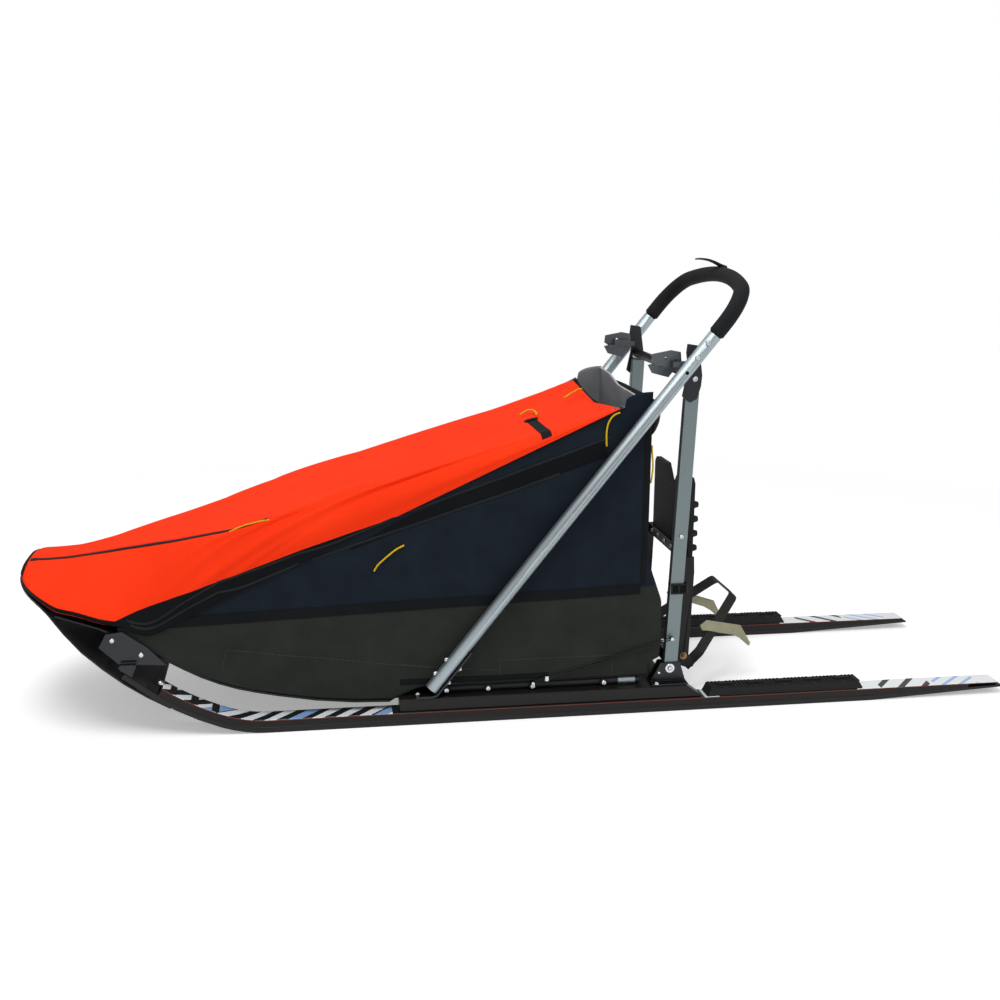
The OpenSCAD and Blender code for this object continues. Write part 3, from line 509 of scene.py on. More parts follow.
def tread_studs():
    """Small tapered studs in rows across each tread, and a taller bar after every eighth row."""
    rows = np.arange(-776, -412, 9.0)
    xs, ys = np.meshgrid(rows, np.arange(-18, 19, 9.0), indexing="ij")
    bars = rows[4::8]
    field = ~np.isin(xs, bars)
    stud = turned([(3.0, -0.5), (2.7, 1.6), (2.0, 2.4)], 8)
    at = np.stack([xs[field], GAUGE / 2 - RUNNER_W / 2 + ys[field], np.full(field.sum(), DECK_Z + 19.0)], 1)
    bar_at = np.stack([bars, np.full(len(bars), GAUGE / 2 - RUNNER_W / 2), np.full(len(bars), DECK_Z + 18.5)], 1)
    make_pair("tread_studs", join([scatter(stud, at, (0, 0, 1)), scatter(block(7, 40, 5.0, 1.0), bar_at, (0, 0, 1), np.pi / 2)]),
              moulded_rubber, "tread_rubber")


# ---- Handlebar ----

def handlebar():
    """Loop bar and foam sleeve: circles carried along a loop of two corner arcs and a shallow
    bow, drawn in the tubes' own plane. The sleeve's ends are rounded by a quarter ellipse."""
    half = walk((0, 0), 90, [(32, 0), (100, 75), ((TUBE_Y - 100 * (1 - np.cos(np.radians(75)))) / np.cos(np.radians(75)), 15)])
    half = half[:, :2] + [0, 0]
    across, along = TUBE_Y + half[:, 0], half[:, 1]
    across = np.concatenate([across, -across[-2::-1]])
    along = np.concatenate([along, along[-2::-1]])
    path = np.stack([TUBE_TOP[0] + along * TUBE_DIR[0], across, TUBE_TOP[1] + along * TUBE_DIR[1]], 1)
    path = evenly(path, 7)
    normal = (TUBE_DIR[1], 0, -TUBE_DIR[0])
    loop = make("handlebar_bar", bar(path, LOOP_D, normal, 24), satin_tube, "satin_tube")
    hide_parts("handlebar_loop")
    run = np.append(0, np.cumsum(np.linalg.norm(np.diff(path, axis=0), axis=1)))
    edge = np.minimum(run, run[-1] - run)
    d = LOOP_D + 1 + (GRIP_D - LOOP_D - 1) * np.sqrt(1 - (1 - np.clip(edge / 5, 0, 1)) ** 2)
    sleeve = carry(path, circle(1, 28)[None] * d[:, None, None], normal)
    grip = make("foam_sleeve", skin(sleeve, closed=True, caps=True), foam_rubber, "foam_grip", smooth_all=True)
    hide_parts("handlebar_grip")
    apex = path[len(path) // 2]
    n = np.array(normal)
    spots = np.stack([apex + [0, y, 0] - n * (GRIP_D / 2 - 0.4) for y in (-24, 24)])
    make("grip_screws", scatter(BUTTON_SMALL, spots, -n), bright_steel, "satin_tube")
    return apex


def horn(apex):
    """A curved tongue: an oval carried along a curve that leaves the grip and bends forward,
    while the oval narrows from root to tip as 1 - 0.75 s^1.4."""
    root = apex + [2, 0, GRIP_D / 2 - 3]
    path = through(root + np.array([[-14, 0, 0], [0, 0, 6], [14, 0, 13], [30, 0, 18.5], [48, 0, 21], [62, 0, 20.5]]), 40)
    s = np.linspace(0, 1, len(path))
    size = np.stack([22 - 13 * s ** 1.4, 11 - 7.5 * s ** 0.8], 1)
    size[-1] *= 0.4
    oval = carry(path, circle(1, 20)[None] * size[:, None, :], (0, 0, 1))
    tongue = make("line_horn", skin(oval, closed=True, caps=True), moulded_nylon, "horn_plastic", smooth_all=True)
    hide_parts("handlebar_horn")


# ---- Fasteners ----

def button(r, h):
    """Button head with a recess: flat rim, domed edge and a sunk round socket."""
    return turned([(r, 0), (r, 0.3 * h), (0.94 * r, 0.66 * h), (0.72 * r, h), (0.46 * r, h), (0.4 * r, 0.45 * h), (0.05, 0.42 * h)])


def hex_nut(r, h):
    """Six-sided nut with the end of its bolt standing out of it."""
    return join([turned([(r, 0), (r, 0.85 * h), (0.9 * r, h)], 6),
                 turned([(0.55 * r, 0), (0.55 * r, h + 2.2), (0.45 * r, h + 3)], 16)])


def washer(r, t):
    """A flat ring's outside: a low turned disc with an eased edge."""
    return turned([(r, 0), (r, 0.7 * t), (0.95 * r, t)])


BUTTON_SMALL, BUTTON, BUTTON_BIG = button(3.4, 2.4), button(6, 4.4), button(8, 5.5)
OUT, UP = (0, 1, 0), (0, 0, 1)


def fasteners():
    """Bolts, washers and nuts by kind, each set at its places on the frame."""
    face = np.array([TUBE_DIR[1], 0, -TUBE_DIR[0]])
    along = np.array([TUBE_DIR[0], 0, TUBE_DIR[1]])
    foot = np.array([TUBE_FOOT[0], TUBE_Y - 2, TUBE_FOOT[1]])
    tube_out = TUBE_Y + TUBE_D / 2 - 0.6
    through_tube = np.stack([foot + along * s for s in (34, 74)])
    nose_face = GAUGE / 2 - 25 + 4.3
    upright_face = 240.2
    steel = join([
        scatter(BUTTON, [[-365, tube_out, 851], [-343, tube_out, 819]], OUT),
        scatter(BUTTON, through_tube + face * (TUBE_D / 2 - 0.6), face),
        scatter(hex_nut(6, 5), through_tube - face * (TUBE_D / 2 + 5.1), -face),
        scatter(BUTTON, [[271, 255, RISER_TOP + 5.2]], UP),
        scatter(BUTTON, [[-334, upright_face, 408], [-343, upright_face, 729]], OUT),
        scatter(join([washer(11, 1.6), scatter(BUTTON, [[0, 0, 1.5]], UP)]), [[-318, upright_face + 4.2, 94]], OUT),
        scatter(BUTTON_SMALL, [[-292, upright_face + 4.2, 84]], OUT),
        scatter(BUTTON, [[927, nose_face, 222], [868, nose_face, 187]], OUT),
        scatter(BUTTON, [[-282, 262, RISER_TOP + 4]], UP),
        scatter(BUTTON_BIG, [[831, GAUGE / 2 - 25, 118]], (-0.55, 0, 0.83)),
    ])
    make_pair("frame_bolts", steel, bright_steel, "bracket_black")
    joint = join([scatter(washer(13, 2), [[-349, 240.6, 769]], OUT), scatter(washer(10, 2), [[-349, 242.6, 769]], OUT),
                  scatter(button(7.5, 5), [[-349, 244.6, 769]], OUT)])
    make_pair("joint_bolt", joint, bright_steel, "bracket_black")
    rail_at = np.array([[x, 244.4, 68.8] for x in (205, 110, 7, -160)])
    make_pair("rail_washers", scatter(washer(9.5, 3), rail_at, OUT), washer_rubber, "rail_plastic")
    make_pair("rail_bolts", scatter(button(6.5, 5), rail_at + [0, 2.8, 0], OUT), bright_steel, "rail_plastic")
    make_pair("rail_sleeve", bar([[x, 236, 68.8] for x in (-235, -225, -205, -195)], 19.6, (0, 0, 1), 28), satin_tube, "rail_plastic")
    make_pair("hinge_bolts", scatter(join([washer(9, 1.2), scatter(hex_nut(6.5, 5), [[0, 0, 1.1]], UP)]), [[-371, 177.4, 98]], OUT),
              bronze_zinc, "bracket_black")
    clamp = np.array([[-375.8, y, 328.5] for y in (-135, -82, -28, 28, 82, 135)])
    make("mat_clamp_bolts", scatter(button(5, 3.6), clamp, (1, 0, 0)), bright_steel, "bracket_black", "drag_mat_arm")


# ---- Bag ----

def wall_relief(x, z):
    """How far the side wall stands out from its plane: two shallow pillows above and below the
    webbing, diagonal wrinkles (sine waves whose phase wanders along x), all fading out
    where the sloping tube lies against the cloth, at the seam and at the edges."""
    seam = SEAM_FRONT[1] + (SEAM_REAR[1] - SEAM_FRONT[1]) * (SEAM_FRONT[0] - x) / (SEAM_FRONT[0] - SEAM_REAR[0])
    web = 270 - 0.033 * (x - 308)
    reach = (x - TUBE_FOOT[0]) * TUBE_DIR[1] - (z - TUBE_FOOT[1]) * TUBE_DIR[0]
    free = smooth(18, 75, np.abs(reach))
    upper = smooth(0, 60, z - web) * smooth(0, 90, seam - z)
    lower = smooth(0, 50, web - z) * smooth(60, 130, z)
    ends = smooth(-250, -170, x) * smooth(905, 800, x)
    wrinkle = np.sin((0.55 * x + z) / 23 + 1.6 * np.sin(x / 97) + 0.9 * np.sin(z / 61))
    drape = np.sin((0.9 * x - z) / 41 + 1.1 * np.sin(x / 143))
    return ends * free * (upper * (1.6 + 1.3 * drape) + lower * (1.9 + 2.1 * wrinkle + 1.2 * drape))


def on_wall(x, z, lift=0.0):
    """Points of the left wall's outer face at x and z, raised by lift."""
    return np.stack([x, WALL_Y - 0.4 + wall_relief(x, z) + lift, z], -1)


def overlay(path, width, thick, place, samples=7):
    """A strip sewn on a surface: for each point of a path in the surface's own plane, a row
    across it, raised by its thickness and turned down at both edges. place(a, b, lift)
    gives the surface."""
    p = evenly(path, 6)
    t = unit(np.gradient(p, axis=0))
    left = np.stack([-t[:, 1], t[:, 0]], 1)
    across = np.concatenate([[-0.5], np.linspace(-0.5, 0.5, samples), [0.5]])
    lift = np.concatenate([[-0.3], [0.75 * thick], np.full(samples - 2, thick), [0.75 * thick], [-0.3]])
    w = np.interp(np.linspace(0, 1, len(p)), np.linspace(0, 1, np.size(width)), np.atleast_1d(width))
    q = p[:, None] + left[:, None] * (across[None] * w[:, None])[..., None]
    return skin(place(q[..., 0], q[..., 1], np.broadcast_to(lift, q.shape[:2])))


def stitches(path, place, gap=7.0, long=4.2, thick=0.9):
    """A seam's thread: short eased bars in a row along a path on a surface."""
    p = evenly(path, gap)
    mids = 0.5 * (p[1:] + p[:-1])
    here, there = place(p[:-1, 0], p[:-1, 1], 0.25), place(p[1:, 0], p[1:, 1], 0.25)
    rod = turned([(0.2, -long / 2), (thick / 2, -long / 2 + 0.6), (thick / 2, long / 2 - 0.6), (0.2, long / 2)], 6)
    return scatter(rod, 0.5 * (here + there), unit(there - here))


def bed_height(x):
    """Height of the bag's lower edge: along the rods behind, along the rising bed in front."""
    bed = walk((-290, 48), 0, [(620, 0), (1200, 12), (50, 0), (500, 19), (140, 0), (400, -12)])
    top = beside(bed, 5.2)
    z = np.interp(x, top[:, 0], top[:, 1])
    return z + (79.0 - z) * smooth(335, 255, x)


def wall_top(x):
    """Upper edge of the wall: the seam's straight line, which climbs at the rear corner in a
    rounded flap and drops to the bow in front."""
    seam = SEAM_FRONT[1] + (SEAM_REAR[1] - SEAM_FRONT[1]) * (SEAM_FRONT[0] - x) / (SEAM_FRONT[0] - SEAM_REAR[0])
    flap = 24 * np.sqrt(np.clip(1 - ((x + 254) / 62) ** 2, 0, 1)) + 717
    level = seam - 2 - 7 * smooth(780, -100, x)
    back = np.where(x < -192, np.maximum(level - 12, flap), np.minimum(level, 760))
    return np.where(x < SEAM_FRONT[0], back, SEAM_FRONT[1] + (x - SEAM_FRONT[0]) * 0.17)


def bag_walls():
    """Side walls: rows at x, columns from the lower to the upper edge, each point on the
    wall's relief. The rear edge follows the stanchion's foot."""
    xs = np.unique(np.concatenate([np.linspace(REAR_X, -180, 26), np.linspace(-180, 916, 200)]))
    t = np.linspace(0, 1, 90)
    low, high = bed_height(xs), wall_top(xs)
    z = low[:, None] + (high - low)[:, None] * t[None]
    x = np.broadcast_to(xs[:, None], z.shape).copy()
    back = np.interp(z, [79, 111, 123, 170, 261, 362, 740], [-9, -9, -35, -39, -36, 0, 0])
    x += back * smooth(-150, -255, x)
    grid = on_wall(x, z)
    surface = skin(grid)
    uv = np.stack([grid[..., 0], grid[..., 2]], -1).reshape(-1, 2)[surface[1]] * MM
    surface = (*surface[:3], uv)
    middle = z[:-1, :-1] < (270 - 0.033 * (x[:-1, :-1] - 308))
    for obj, node in zip(make_pair("bag_wall", surface, pack_cloth, "bag_fabric", smooth_all=True),
                         ("bag_side_left", "bag_side_right")):
        obj.data.materials.append(base_cloth)
        obj.data.polygons.foreach_set("material_index", middle.ravel().astype(np.int32))
        mod = thicken(obj, FABRIC_T).modifiers["thickness"]
        obj.data.materials.append(lining)
        obj.data.materials.append(lining)
        mod.material_offset = 2
        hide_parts(node)


def wall_trim():
    """What is sewn on the side walls: the dark band under the seam with a zip along each edge,
    the webbing, panel tapes and lines of stitching."""
    band = [[415, 405], [300, 458], [86, 536], [-60, 587], [-150, 617]]
    band_w = [6, 26, 38, 42, 40]
    black = [overlay(band, band_w, 0.7, on_wall, 9)]
    upper_zip = [[285, 486.4], [86, 555], [-160, 642]]
    lower_zip = [[500, 385], [86, 517], [-48, 562]]
    make_pair("seam_band", join(black), black_cloth, "bag_fabric")
    make_pair("wall_zips", join([overlay(p, 5, 1.7, on_wall, 5) for p in (upper_zip, lower_zip)]), zip_coil, "bag_fabric")
    make_pair("wall_webbing", join([overlay([[820, 253], [308, 271], [-240, 289]], 23, 1.5, on_wall),
                                    overlay([[-246, 300], [-246, 700]], 12, 1.2, on_wall),
                                    overlay([[-30, 92], [310, 92]], 14, 1.0, on_wall)]), webbing, "webbing")
    seams = [[[700, 137], [689, 187], [530, 165], [237, 123]], [[309, 136], [219, 122], [82, 110]],
             [[82, 84], [82, 134]], [[82, 134], [-179, 134]], [[-179, 134], [-179, 84]],
             [[820, 259.5], [308, 277.5], [-240, 295.5]], [[820, 246], [308, 264], [-240, 282]]]
    make_pair("wall_stitching", join([stitches(p, on_wall) for p in seams]), thread, "webbing")


def bag_rear_wall():
    """Rear wall: columns from left to right, rows up the bent rear edge. Its top edge sags as
    a shallow cosine between the corners, and low folds hang from them."""
    ys = np.linspace(242.4, -242.4, 90)
    line = evenly([[-263.5, 79], [-263.5, 111.5], [-289.5, 123.5], [-293.5, 170], [-290.5, 261], [-254.5, 362], [-254.5, 740]], 8)
    t = line[:, 1]
    top = np.interp(-ys, [-246, -150, -60, 60, 149, 246], [739, 712, 713, 716, 733, 736])
    z = 79 + (t[:, None] - 79) * ((top[None] - 79) / (740 - 79))
    fold = np.sin(ys[None] / 26 + z / 47) * smooth(380, 560, z) * smooth(745, 690, z)
    x = line[:, :1] + 1.0 * fold * smooth(0, 60, 242 - np.abs(ys))[None]
    grid = np.stack([x, np.broadcast_to(ys[None], z.shape), z], -1)
    wall = make("bag_rear_wall", skin(grid), black_cloth, "bag_fabric", smooth_all=True)
    thicken(wall, 2.2, lining)
    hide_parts("bag_rear")
    edge = grid[-1] + [1.0, 0, 0.5]
    make("rear_piping", bar(edge, 5, (0, 0, 1), 12), piping_cloth, "bag_fabric")


# Cover stations along the sled: [x, shoulder height, shoulder inside the wall, crown, edge height, edge beyond the wall]
OVERHANG = 3.8
SEAM_STATIONS = [[-190, 712, 20, 0], [-135, 693, 22, 1], [15, 642, 28, 2], [142, 604, 32, 3], [269, 566, 36, 4],
                 [394, 531, 38, 5], [519, 493, 40, 5], [642, 451, 51, 4], [765, 417, 93, 3], [847, 397.5, 126, 2]]
FRONT_STATIONS = [[909, 383, 153, 2, 249, OVERHANG], [950, 373, 170, 2, 259, OVERHANG],
                  [999, 363.5, 184, 2, 277, OVERHANG], [1038, 357, 191, 2, 285, -6], [1068, 354, 196, 2, 296, -27],
                  [1095, 352, 200, 2, 306.5, -56], [1120, 351, 204, 2, 315, -99], [1138, 345, 206, 1, 325.5, -156]]
LAP = 8
COVER_ROWS, COVER_COLS, SECTION_SPANS = 260, 145, 14


def cover_grid():
    """The cover as a grid: sections of 15 points, mirrored about the middle, with a Catmull-Rom
    curve along the sled and another across. Sides stand upright where the deck is wide and
    lean in where it narrows to the nose."""
    slope = (SEAM_REAR[1] - SEAM_FRONT[1]) / (SEAM_FRONT[0] - SEAM_REAR[0])
    rows = [s + [SEAM_FRONT[1] + slope * (SEAM_FRONT[0] - s[0]) - LAP, OVERHANG] for s in SEAM_STATIONS]
    x, high, inset, crown, edge, beyond = np.array(rows + FRONT_STATIONS, float).T
    e, sh, rise = WALL_Y + beyond, WALL_Y - inset, high - edge
    lean = e - sh
    upright = np.clip((150 - lean) / 90, 0, 1)
    half = [(e, edge), (e - 0.1, edge + np.minimum(LAP + 4, 0.2 * rise)),
            (e - 1 - 0.2 * (1 - upright) * lean, edge + (0.4 + 0.1 * upright) * rise),
            (0.5 * (e + sh), edge + (0.7 + 0.18 * upright) * rise),
            (sh, high + 0.1 * crown), (0.6 * sh, high + 0.6 * crown), (0.25 * sh, high + 0.95 * crown)]
    full = half + [(0 * sh, high + crown)] + [(-y, z) for y, z in half[::-1]]
    stations = np.stack([np.stack([x, y, z], 1) for y, z in full], 1)
    grid = through(stations, COVER_ROWS)
    return np.swapaxes(through(np.swapaxes(grid, 0, 1), COVER_COLS), 0, 1)


# Folds pulled tight from the shoulder to the front corner: [start x, end x, section index at the
# start, width in section indices, depth in mm]
COVER_FOLDS = [[330, 915, 3.9, 0.22, 8], [560, 930, 3.7, 0.17, 7], [-60, 870, 3.75, 0.14, 4.5],
               [150, 720, 3.4, 0.12, 3.2], [740, 1010, 3.4, 0.16, 4.5], [430, 900, 3.2, 0.12, 3.6]]


def cover_shape():
    """Adds the folds to the cover's grid, along its normals. Each is a bell across a line that
    sweeps from the shoulder down to the front corner, with a low swell on either side. The
    top has shallow waves, and the rear hem sags by a power of 1 - (y / half width)^2. Where
    folds meet, 6 tanh(move / 6) keeps them under 6 mm. A bell makes room for the pull cord."""
    grid = cover_grid()
    normal = unit(np.cross(np.gradient(grid, axis=1), np.gradient(grid, axis=0)))
    x, y = grid[..., 0], grid[..., 1]
    k = np.linspace(0, SECTION_SPANS, COVER_COLS)[None]
    side = np.minimum(k, SECTION_SPANS - k)
    near = np.where(k < SECTION_SPANS / 2, 1.0, 0.8)
    move = np.zeros_like(x)
    for start, end, rise, wide, deep in COVER_FOLDS:
        s = (x - start) / (end - start)
        off = side - (rise - (rise - 0.9) * np.clip(s, 0, 1) ** 1.7)
        along = smooth(0, 0.16, s) * smooth(1.06, 0.9, s)
        move -= near * along * deep * (ridge(off, wide) - 0.45 * ridge(off - 2.1 * wide, 1.2 * wide))
    move += smooth(4, 5, side) * 1.6 * np.sin(x / 52 + 1.4 * np.sin(y / 71)) * smooth(-190, 0, x) * smooth(1100, 950, x)
    move = 6 * np.tanh(move / 6) * smooth(1.0, 2.0, side) * smooth(870, 690, x)
    under_cord = 3.4 * ridge(x - 632, 60) * ridge(k - 3.85, 0.4)
    grid = grid + normal * (move - under_cord)[..., None]
    span = np.clip(1 - (y / 238) ** 2, 0, 1)
    grid[..., 2] -= (26 * span ** 0.8 + 3) * np.exp(-np.clip(x + 190, 0, None) / 95) * smooth(1.2, 3.6, side)
    return grid, normal


COVER, COVER_NORMAL = cover_shape()


def on_cover(x, k, lift=0.0):
    """Points of the cover at x and at section index k (0 left edge, 4 left shoulder, 7 ridge),
    by bilinear sampling of its grid, raised by lift along its normals."""
    r = np.interp(x, COVER[:, COVER_COLS // 2, 0], np.arange(COVER_ROWS))
    c = np.asarray(k, float) * (COVER_COLS - 1) / SECTION_SPANS
    i, j = np.clip(r.astype(int), 0, COVER_ROWS - 2), np.clip(c.astype(int), 0, COVER_COLS - 2)
    fr, fc = (r - i)[..., None], (c - j)[..., None]
    def pick(a):
        return (a[i, j] * (1 - fr) * (1 - fc) + a[i + 1, j] * fr * (1 - fc)
                + a[i, j + 1] * (1 - fr) * fc + a[i + 1, j + 1] * fr * fc)
    return pick(COVER) + pick(COVER_NORMAL) * np.asarray(lift, float)[..., None]


def cover_strip(x0, x1, k0, k1, half_width, thick, samples=5):
    """A strip on the cover between two x and two section indices, half_width in mm to either
    side. Along the sled that width is turned into section indices by the cover's own
    distance per index; across it (x0 = x1) it is measured along x."""
    s = np.linspace(0, 1, 160)[:, None]
    a = np.concatenate([[-1], np.linspace(-1, 1, samples), [1]])[None]
    lift = np.concatenate([[-0.4], [0.7 * thick], np.full(samples - 2, thick), [0.7 * thick], [-0.4]])[None]
    x, k = x0 + (x1 - x0) * s, k0 + (k1 - k0) * s
    if x0 == x1:
        x, k = x - a * half_width, k + 0 * a
    else:
        per_index = np.linalg.norm(on_cover(x, k + 0.2) - on_cover(x, k - 0.2), axis=-1) / 0.4
        x, k = x + 0 * a, k - a * half_width / per_index
    return skin(on_cover(x, np.clip(k, 0, SECTION_SPANS), np.broadcast_to(lift, x.shape)))


def cover_line(points, half_width, thick):
    """A strip on the cover through (x, section index) points, in straight stretches."""
    p = np.array(points, float)
    return join([cover_strip(a[0], b[0], a[1], b[1], half_width, thick) for a, b in zip(p[:-1], p[1:])])


def top_cover():
    """The orange cover, its zip, hems, the dark tape on the nose edge and the buckled strap."""
    last = SECTION_SPANS
    cover = make("bag_cover", skin(COVER), cover_cloth, "cover_fabric", smooth_all=True)
    thicken(cover, FABRIC_T, lining)
    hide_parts("top_cover")
    make("cover_zip", join([cover_strip(1117, 592, 4.0, 4.0, 4.5, 1.5), cover_strip(1124, 1110, 4.0, 4.0, 7, 2.0)]),
         zip_coil, "webbing")
    upper, lower = [[896, 1.2], [700, 1.64], [524, 1.31], [320, 0.1]], [[889, 1.05], [700, 1.26], [528, 0.1]]
    both_sides = [cover_line(p, 2.5, 1.2) for p in (upper, lower)]
    make("band_zips", join(both_sides + [mirrored(z) for z in both_sides]), zip_coil, "webbing")
    make("zip_flap", cover_strip(585, 1112, 4.11, 4.45, 5, 0.9), cover_cloth, "cover_fabric")
    make("cover_hems", join([cover_strip(-180, 905, k, k, 4.5, 0.9) for k in (0.5, last - 0.5)]),
         cover_cloth, "cover_fabric")
    make("rear_hem", cover_strip(-186, -186, 0.2, last - 0.2, 6, 1.2), black_cloth, "webbing")
    nose = [cover_strip(905, 1132, k, k, 4.5, 1.0) for k in (0.5, last - 0.5)]
    make("nose_tape", join(nose + [cover_strip(1133, 1133, 0.1, last - 0.1, 4, 1.0)]), black_cloth, "webbing")
    make("load_strap", join([cover_strip(-18, -18, 2.2, 6.4, 11, 1.4), cover_strip(-18, -18, 5.85, 6.15, 15, 4.0)]),
         webbing, "webbing")


def rear_pouch():
    """A stuffed pouch on the rear wall: a closed form whose half depth is
    (1 - |u|^5)^(1/2.2) (1 - |v|^3)^(1/2), crowned towards the driver, with two sewn channels."""
    u, v = np.meshgrid(np.linspace(-1, 1, 64), np.linspace(-1, 1, 26), indexing="ij")
    swell = np.clip(1 - np.abs(u) ** 5, 0, 1) ** 0.45 * np.clip(1 - np.abs(v) ** 3, 0, 1) ** 0.5
    seam = 1 - 0.25 * ridge(np.abs(u) - 0.36, 0.03)
    depth = 50 * swell * seam * (1 + 0.05 * np.sin(7 * u + 3 * v))
    y, z = -194 * u, 671 + 45 * v - 2 * (1 - u ** 2) * v
    front = np.stack([REAR_X - 1.2 - depth, y, z], -1)
    back = np.stack([REAR_X - 0.6 + 0 * depth, y, z], -1)
    shell = join([skin(front), skin(back[:, ::-1])])
    pouch = make("stuffed_pouch", shell, black_cloth, "webbing", smooth_all=True)
    weld = pouch.modifiers.new("sewn edge", "WELD")
    weld.merge_threshold = 1.3 * MM
    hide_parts("rear_pouch")
    lid = np.stack([REAR_X - 1.5 - depth[:, -9:] * 1.04 - 0.8, y[:, -9:], z[:, -9:] + 0.8], -1)
    flap = thicken(make("pouch_lid", skin(lid), black_cloth, "webbing", smooth_all=True), 1.2)


def stanchion_straps():
    """Webbing round each stanchion: a rounded rectangle of tape, with a ladder buckle."""
    z0, z1, x, y = 272.3, 296.7, -332.9, 230.4
    ring = eased(40, 24.6, 4)
    heights = np.array([z0, z0 + 0.8, z1 - 0.8, z1])
    grow = np.array([0.985, 1.0, 1.0, 0.985])
    outer = np.stack([np.stack([x + ring[:, 0] * g, y + ring[:, 1] * g, np.full(8, z)], 1) for z, g in zip(heights, grow)])
    loops = make_pair("stanchion_strap", skin(outer, closed=True), webbing, "webbing")
    for obj, node in zip(loops, ("strap_left", "strap_right")):
        thicken(obj, 1.8)
        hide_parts(node)
    frame_bars = [[[-352, 243.4, 274], [-315, 243.4, 274]], [[-352, 243.4, 295], [-315, 243.4, 295]],
                  [[-351, 243.4, 273], [-351, 243.4, 296]], [[-316, 243.4, 273], [-316, 243.4, 296]],
                  [[-333, 243.4, 273], [-333, 243.4, 296]]]
    rods = [skin(carry(np.array(b, float), eased(4, 3, 0.8), OUT), closed=True, caps=True) for b in frame_bars]
    make_pair("strap_buckle", join(rods), moulded_nylon, "webbing")


def stays():
    """Each stay is two sleeved wires side by side, with an eye at both ends and a clamp."""
    y = 250.3
    low, high = np.array([7, y, 76.0]), np.array([-318, y, 168.0])
    run = unit(high - low)
    across = np.cross(run, OUT)
    wires = [bar(np.stack([low + across * s, 0.5 * (low + high) + across * s * 1.1, high + across * s]), 2.6, OUT, 12)
             for s in (-2.4, 2.4)]
    eyes = [scatter(turned([(5, -3.5), (5, 3.5)], 20), [low, high], OUT)]
    wire = make_pair("stay_wires", join(wires + eyes), sleeved_wire, "stay_cable")
    for obj, node in zip(wire, ("stay_left", "stay_right")):
        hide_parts(node)
    clamp = block(9, 12, 5, 1)
    make_pair("stay_clamp", scatter(clamp, [low + run * 34 - [0, 2.5, 0]], OUT), bright_steel, "stay_cable")
    bolts = join([scatter(turned([(3.5, -12), (3.5, 3.6)], 16), [low, high], OUT),
                  scatter(button(5, 3.5), [low + [0, 3.5, 0], high + [0, 3.5, 0]], OUT)])
    make_pair("stay_bolts", bolts, bright_steel, "stay_cable")


# Pull cords: routes listed point by point, the same as in the part's source
CORD_D = 4
ROUTES = {
    "cover_pull_cord": [[588, 210, 467], [605, 204, 464], [622, 201, 459], [640, 197, 454], [658, 195, 447], [675, 194, 439]],
    "side_pull_cord": [[298, 248.8, 411], [314, 248.8, 403], [329, 248.8, 392], [342, 248.8, 381], [356, 248.8, 368],
                       [365, 248.8, 354]],
    "corner_pull_cord": [[-180, 248.8, 697], [-168, 248.8, 692], [-160, 248.8, 684], [-154, 248.8, 672],
                         [-151, 248.8, 655], [-151, 248.8, 638], [-152, 248.8, 622]],
    "hanging_pull_cord": [[-257.8, 240, 620], [-258.5, 241, 604], [-260, 242, 588], [-261, 242, 570], [-260, 241, 552],
                          [-257.8, 240, 534]],
    "elastic_pull_cord": [[-4, -16, 654], [-14, -30, 657], [-24, -38, 660], [-31, -32, 662.5], [-35, -14, 664],
                          [-36, 10, 664], [-34, 32, 663.5], [-30, 50, 662.5]],
    "far_pull_cord": [[-114, -34, 690], [-126, -48, 694], [-138, -59, 698.5], [-149, -68, 702], [-158, -72, 705],
                      [-165, -66, 707]],
}


def pull_cords():
    """Each cord is a circle carried along a Catmull-Rom curve through its route."""
    for name, route in ROUTES.items():
        path = through(route, 12 * len(route))
        obj = make(name + "_braid", bar(path, CORD_D, (0.31, 0.42, 0.85), 12), braid, "pull_cord", smooth_all=True)
        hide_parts(name)


# ---- Build ----

finish_cad()
runner_lines()
tread_studs()
horn(handlebar())
fasteners()
bag_walls()
wall_trim()
bag_rear_wall()
top_cover()
rear_pouch()
stanchion_straps()
stays()
pull_cords()


# ---- Stage, light and camera ----

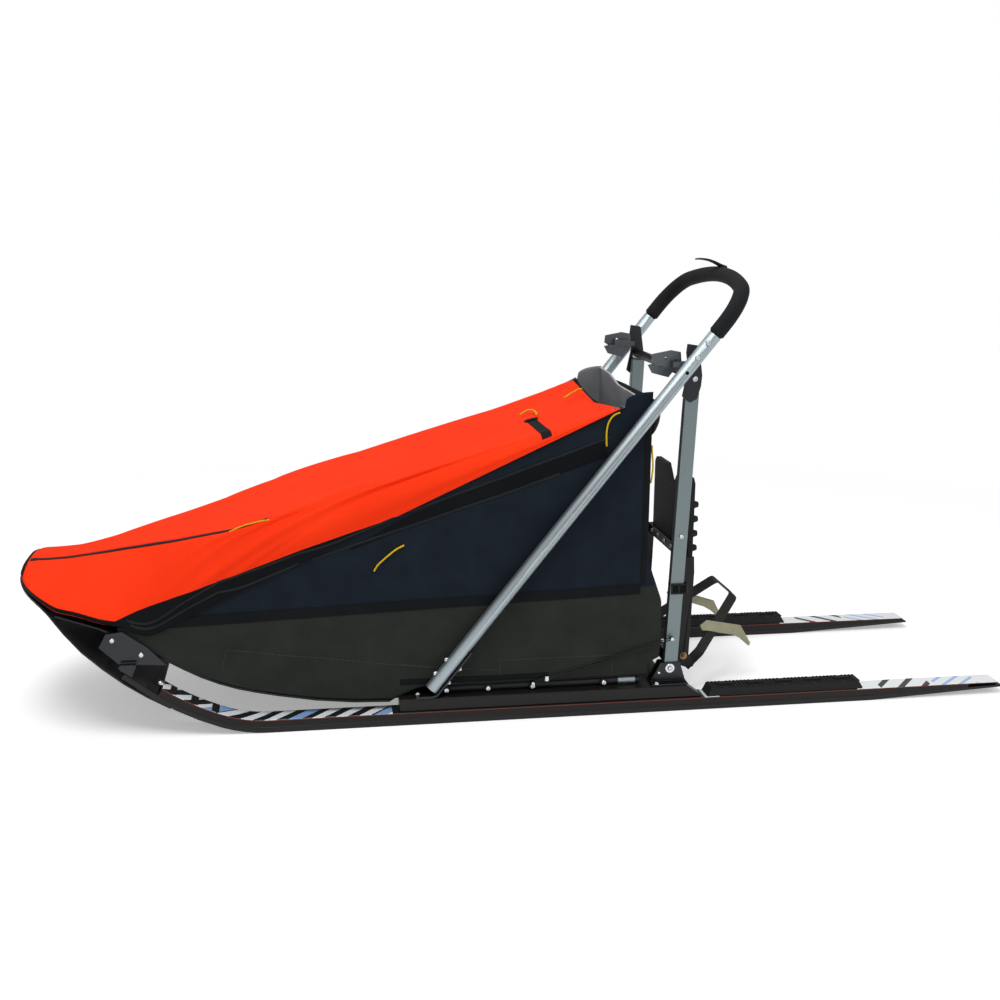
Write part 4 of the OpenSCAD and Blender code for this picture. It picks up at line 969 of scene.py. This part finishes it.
def stage():
    """A pale floor that takes the soft shadow, and a pale world."""
    mesh = bpy.data.meshes.new("studio_floor")
    s = 30.0
    mesh.from_pydata([(-s, -s, 0), (s, -s, 0), (s, s, 0), (-s, s, 0)], [], [(0, 1, 2, 3)])
    floor = bpy.data.objects.new("studio_floor", mesh)
    bpy.context.scene.collection.objects.link(floor)
    # Matt white paper: lit to just under white, so the shadow stays
    mat, tree, shader = start("white_paper", "F4F4F4", 0.9, Specular_IOR_Level=0.1)
    glow = add(tree, "Emission", {"Color": (1, 1, 1, 1), "Strength": 0.34})
    both = add(tree, "AddShader", {0: shader.outputs[0], 1: glow.outputs[0]})
    white = add(tree, "Emission", {"Color": (1, 1, 1, 1), "Strength": 1.0})
    away = add(tree, "VectorMath", {0: add(tree, "TexCoord").outputs["Object"]}, operation="LENGTH")
    far = add(tree, "MapRange", {"Value": away.outputs["Value"], "From Min": 1.3, "From Max": 3.2})
    faded = add(tree, "MixShader", {0: far.outputs[0], 1: both.outputs[0], 2: white.outputs[0]})
    path = add(tree, "LightPath")
    ray = add(tree, "Math", {0: path.outputs["Is Camera Ray"], 1: path.outputs["Is Glossy Ray"]}, operation="MAXIMUM")
    pick = add(tree, "MixShader", {0: ray.outputs[0], 1: shader.outputs[0], 2: faded.outputs[0]})
    tree.links.new(pick.outputs[0], tree.nodes["Material Output"].inputs[0])
    mesh.materials.append(mat)
    world = bpy.data.worlds.new("studio")
    bpy.context.scene.world = world
    world.use_nodes = True
    tree = world.node_tree
    path = add(tree, "LightPath")
    seen = add(tree, "Math", {0: path.outputs["Is Camera Ray"], 1: path.outputs["Is Transmission Ray"]}, operation="MAXIMUM")
    strength = add(tree, "Mix", {0: seen.outputs[0], 2: 0.42, 3: 1.0}, data_type="FLOAT")
    tree.links.new(strength.outputs[0], tree.nodes["Background"].inputs["Strength"])
    tree.nodes["Background"].inputs["Color"].default_value = (1, 1, 1, 1)


def softbox(name, place, target, size, watts):
    """A square area light aimed at a point."""
    light = bpy.data.lights.new(name, "AREA")
    light.shape, light.size, light.energy = "SQUARE", size, watts
    obj = bpy.data.objects.new(name, light)
    bpy.context.scene.collection.objects.link(obj)
    z = unit(np.array(place, float) - target)
    x = unit(np.cross([0, 0, 1.0], z))
    y = np.cross(z, x)
    obj.matrix_world = Matrix([[x[i], y[i], z[i], place[i]] for i in range(3)] + [[0, 0, 0, 1]])


def camera():
    """The camera from its place, yaw, pitch and roll: forward is
    (sin yaw cos pitch, -cos yaw cos pitch, sin pitch)."""
    yaw, pitch, roll = np.radians([-9.2, -12.69, 0.49])
    f = np.array([np.sin(yaw) * np.cos(pitch), -np.cos(yaw) * np.cos(pitch), np.sin(pitch)])
    r = unit(np.cross(f, [0, 0, 1.0]))
    u = np.cross(r, f)
    right = np.cos(roll) * r + np.sin(roll) * u
    up = -np.sin(roll) * r + np.cos(roll) * u
    data = bpy.data.cameras.new("camera")
    data.lens, data.sensor_width = 45.8, 36
    obj = bpy.data.objects.new("camera", data)
    bpy.context.scene.collection.objects.link(obj)
    where = np.array([523, 2946, 1122]) * MM
    obj.matrix_world = Matrix([[right[i], up[i], -f[i], where[i]] for i in range(3)] + [[0, 0, 0, 1]])
    bpy.context.scene.camera = obj


stage()
softbox("key", (1.2, 1.9, 4.4), (0, 0, 0.4), 2.0, 105)
softbox("fill", (-3.0, 2.4, 2.0), (0, 0, 0.4), 2.4, 22)
softbox("top", (0.2, -0.8, 3.6), (0, 0, 0.3), 3.0, 30)
camera()
scene = bpy.context.scene
scene.render.resolution_x = scene.render.resolution_y = 1000
scene.view_settings.view_transform = "Standard"
bpy.context.view_layer.update()
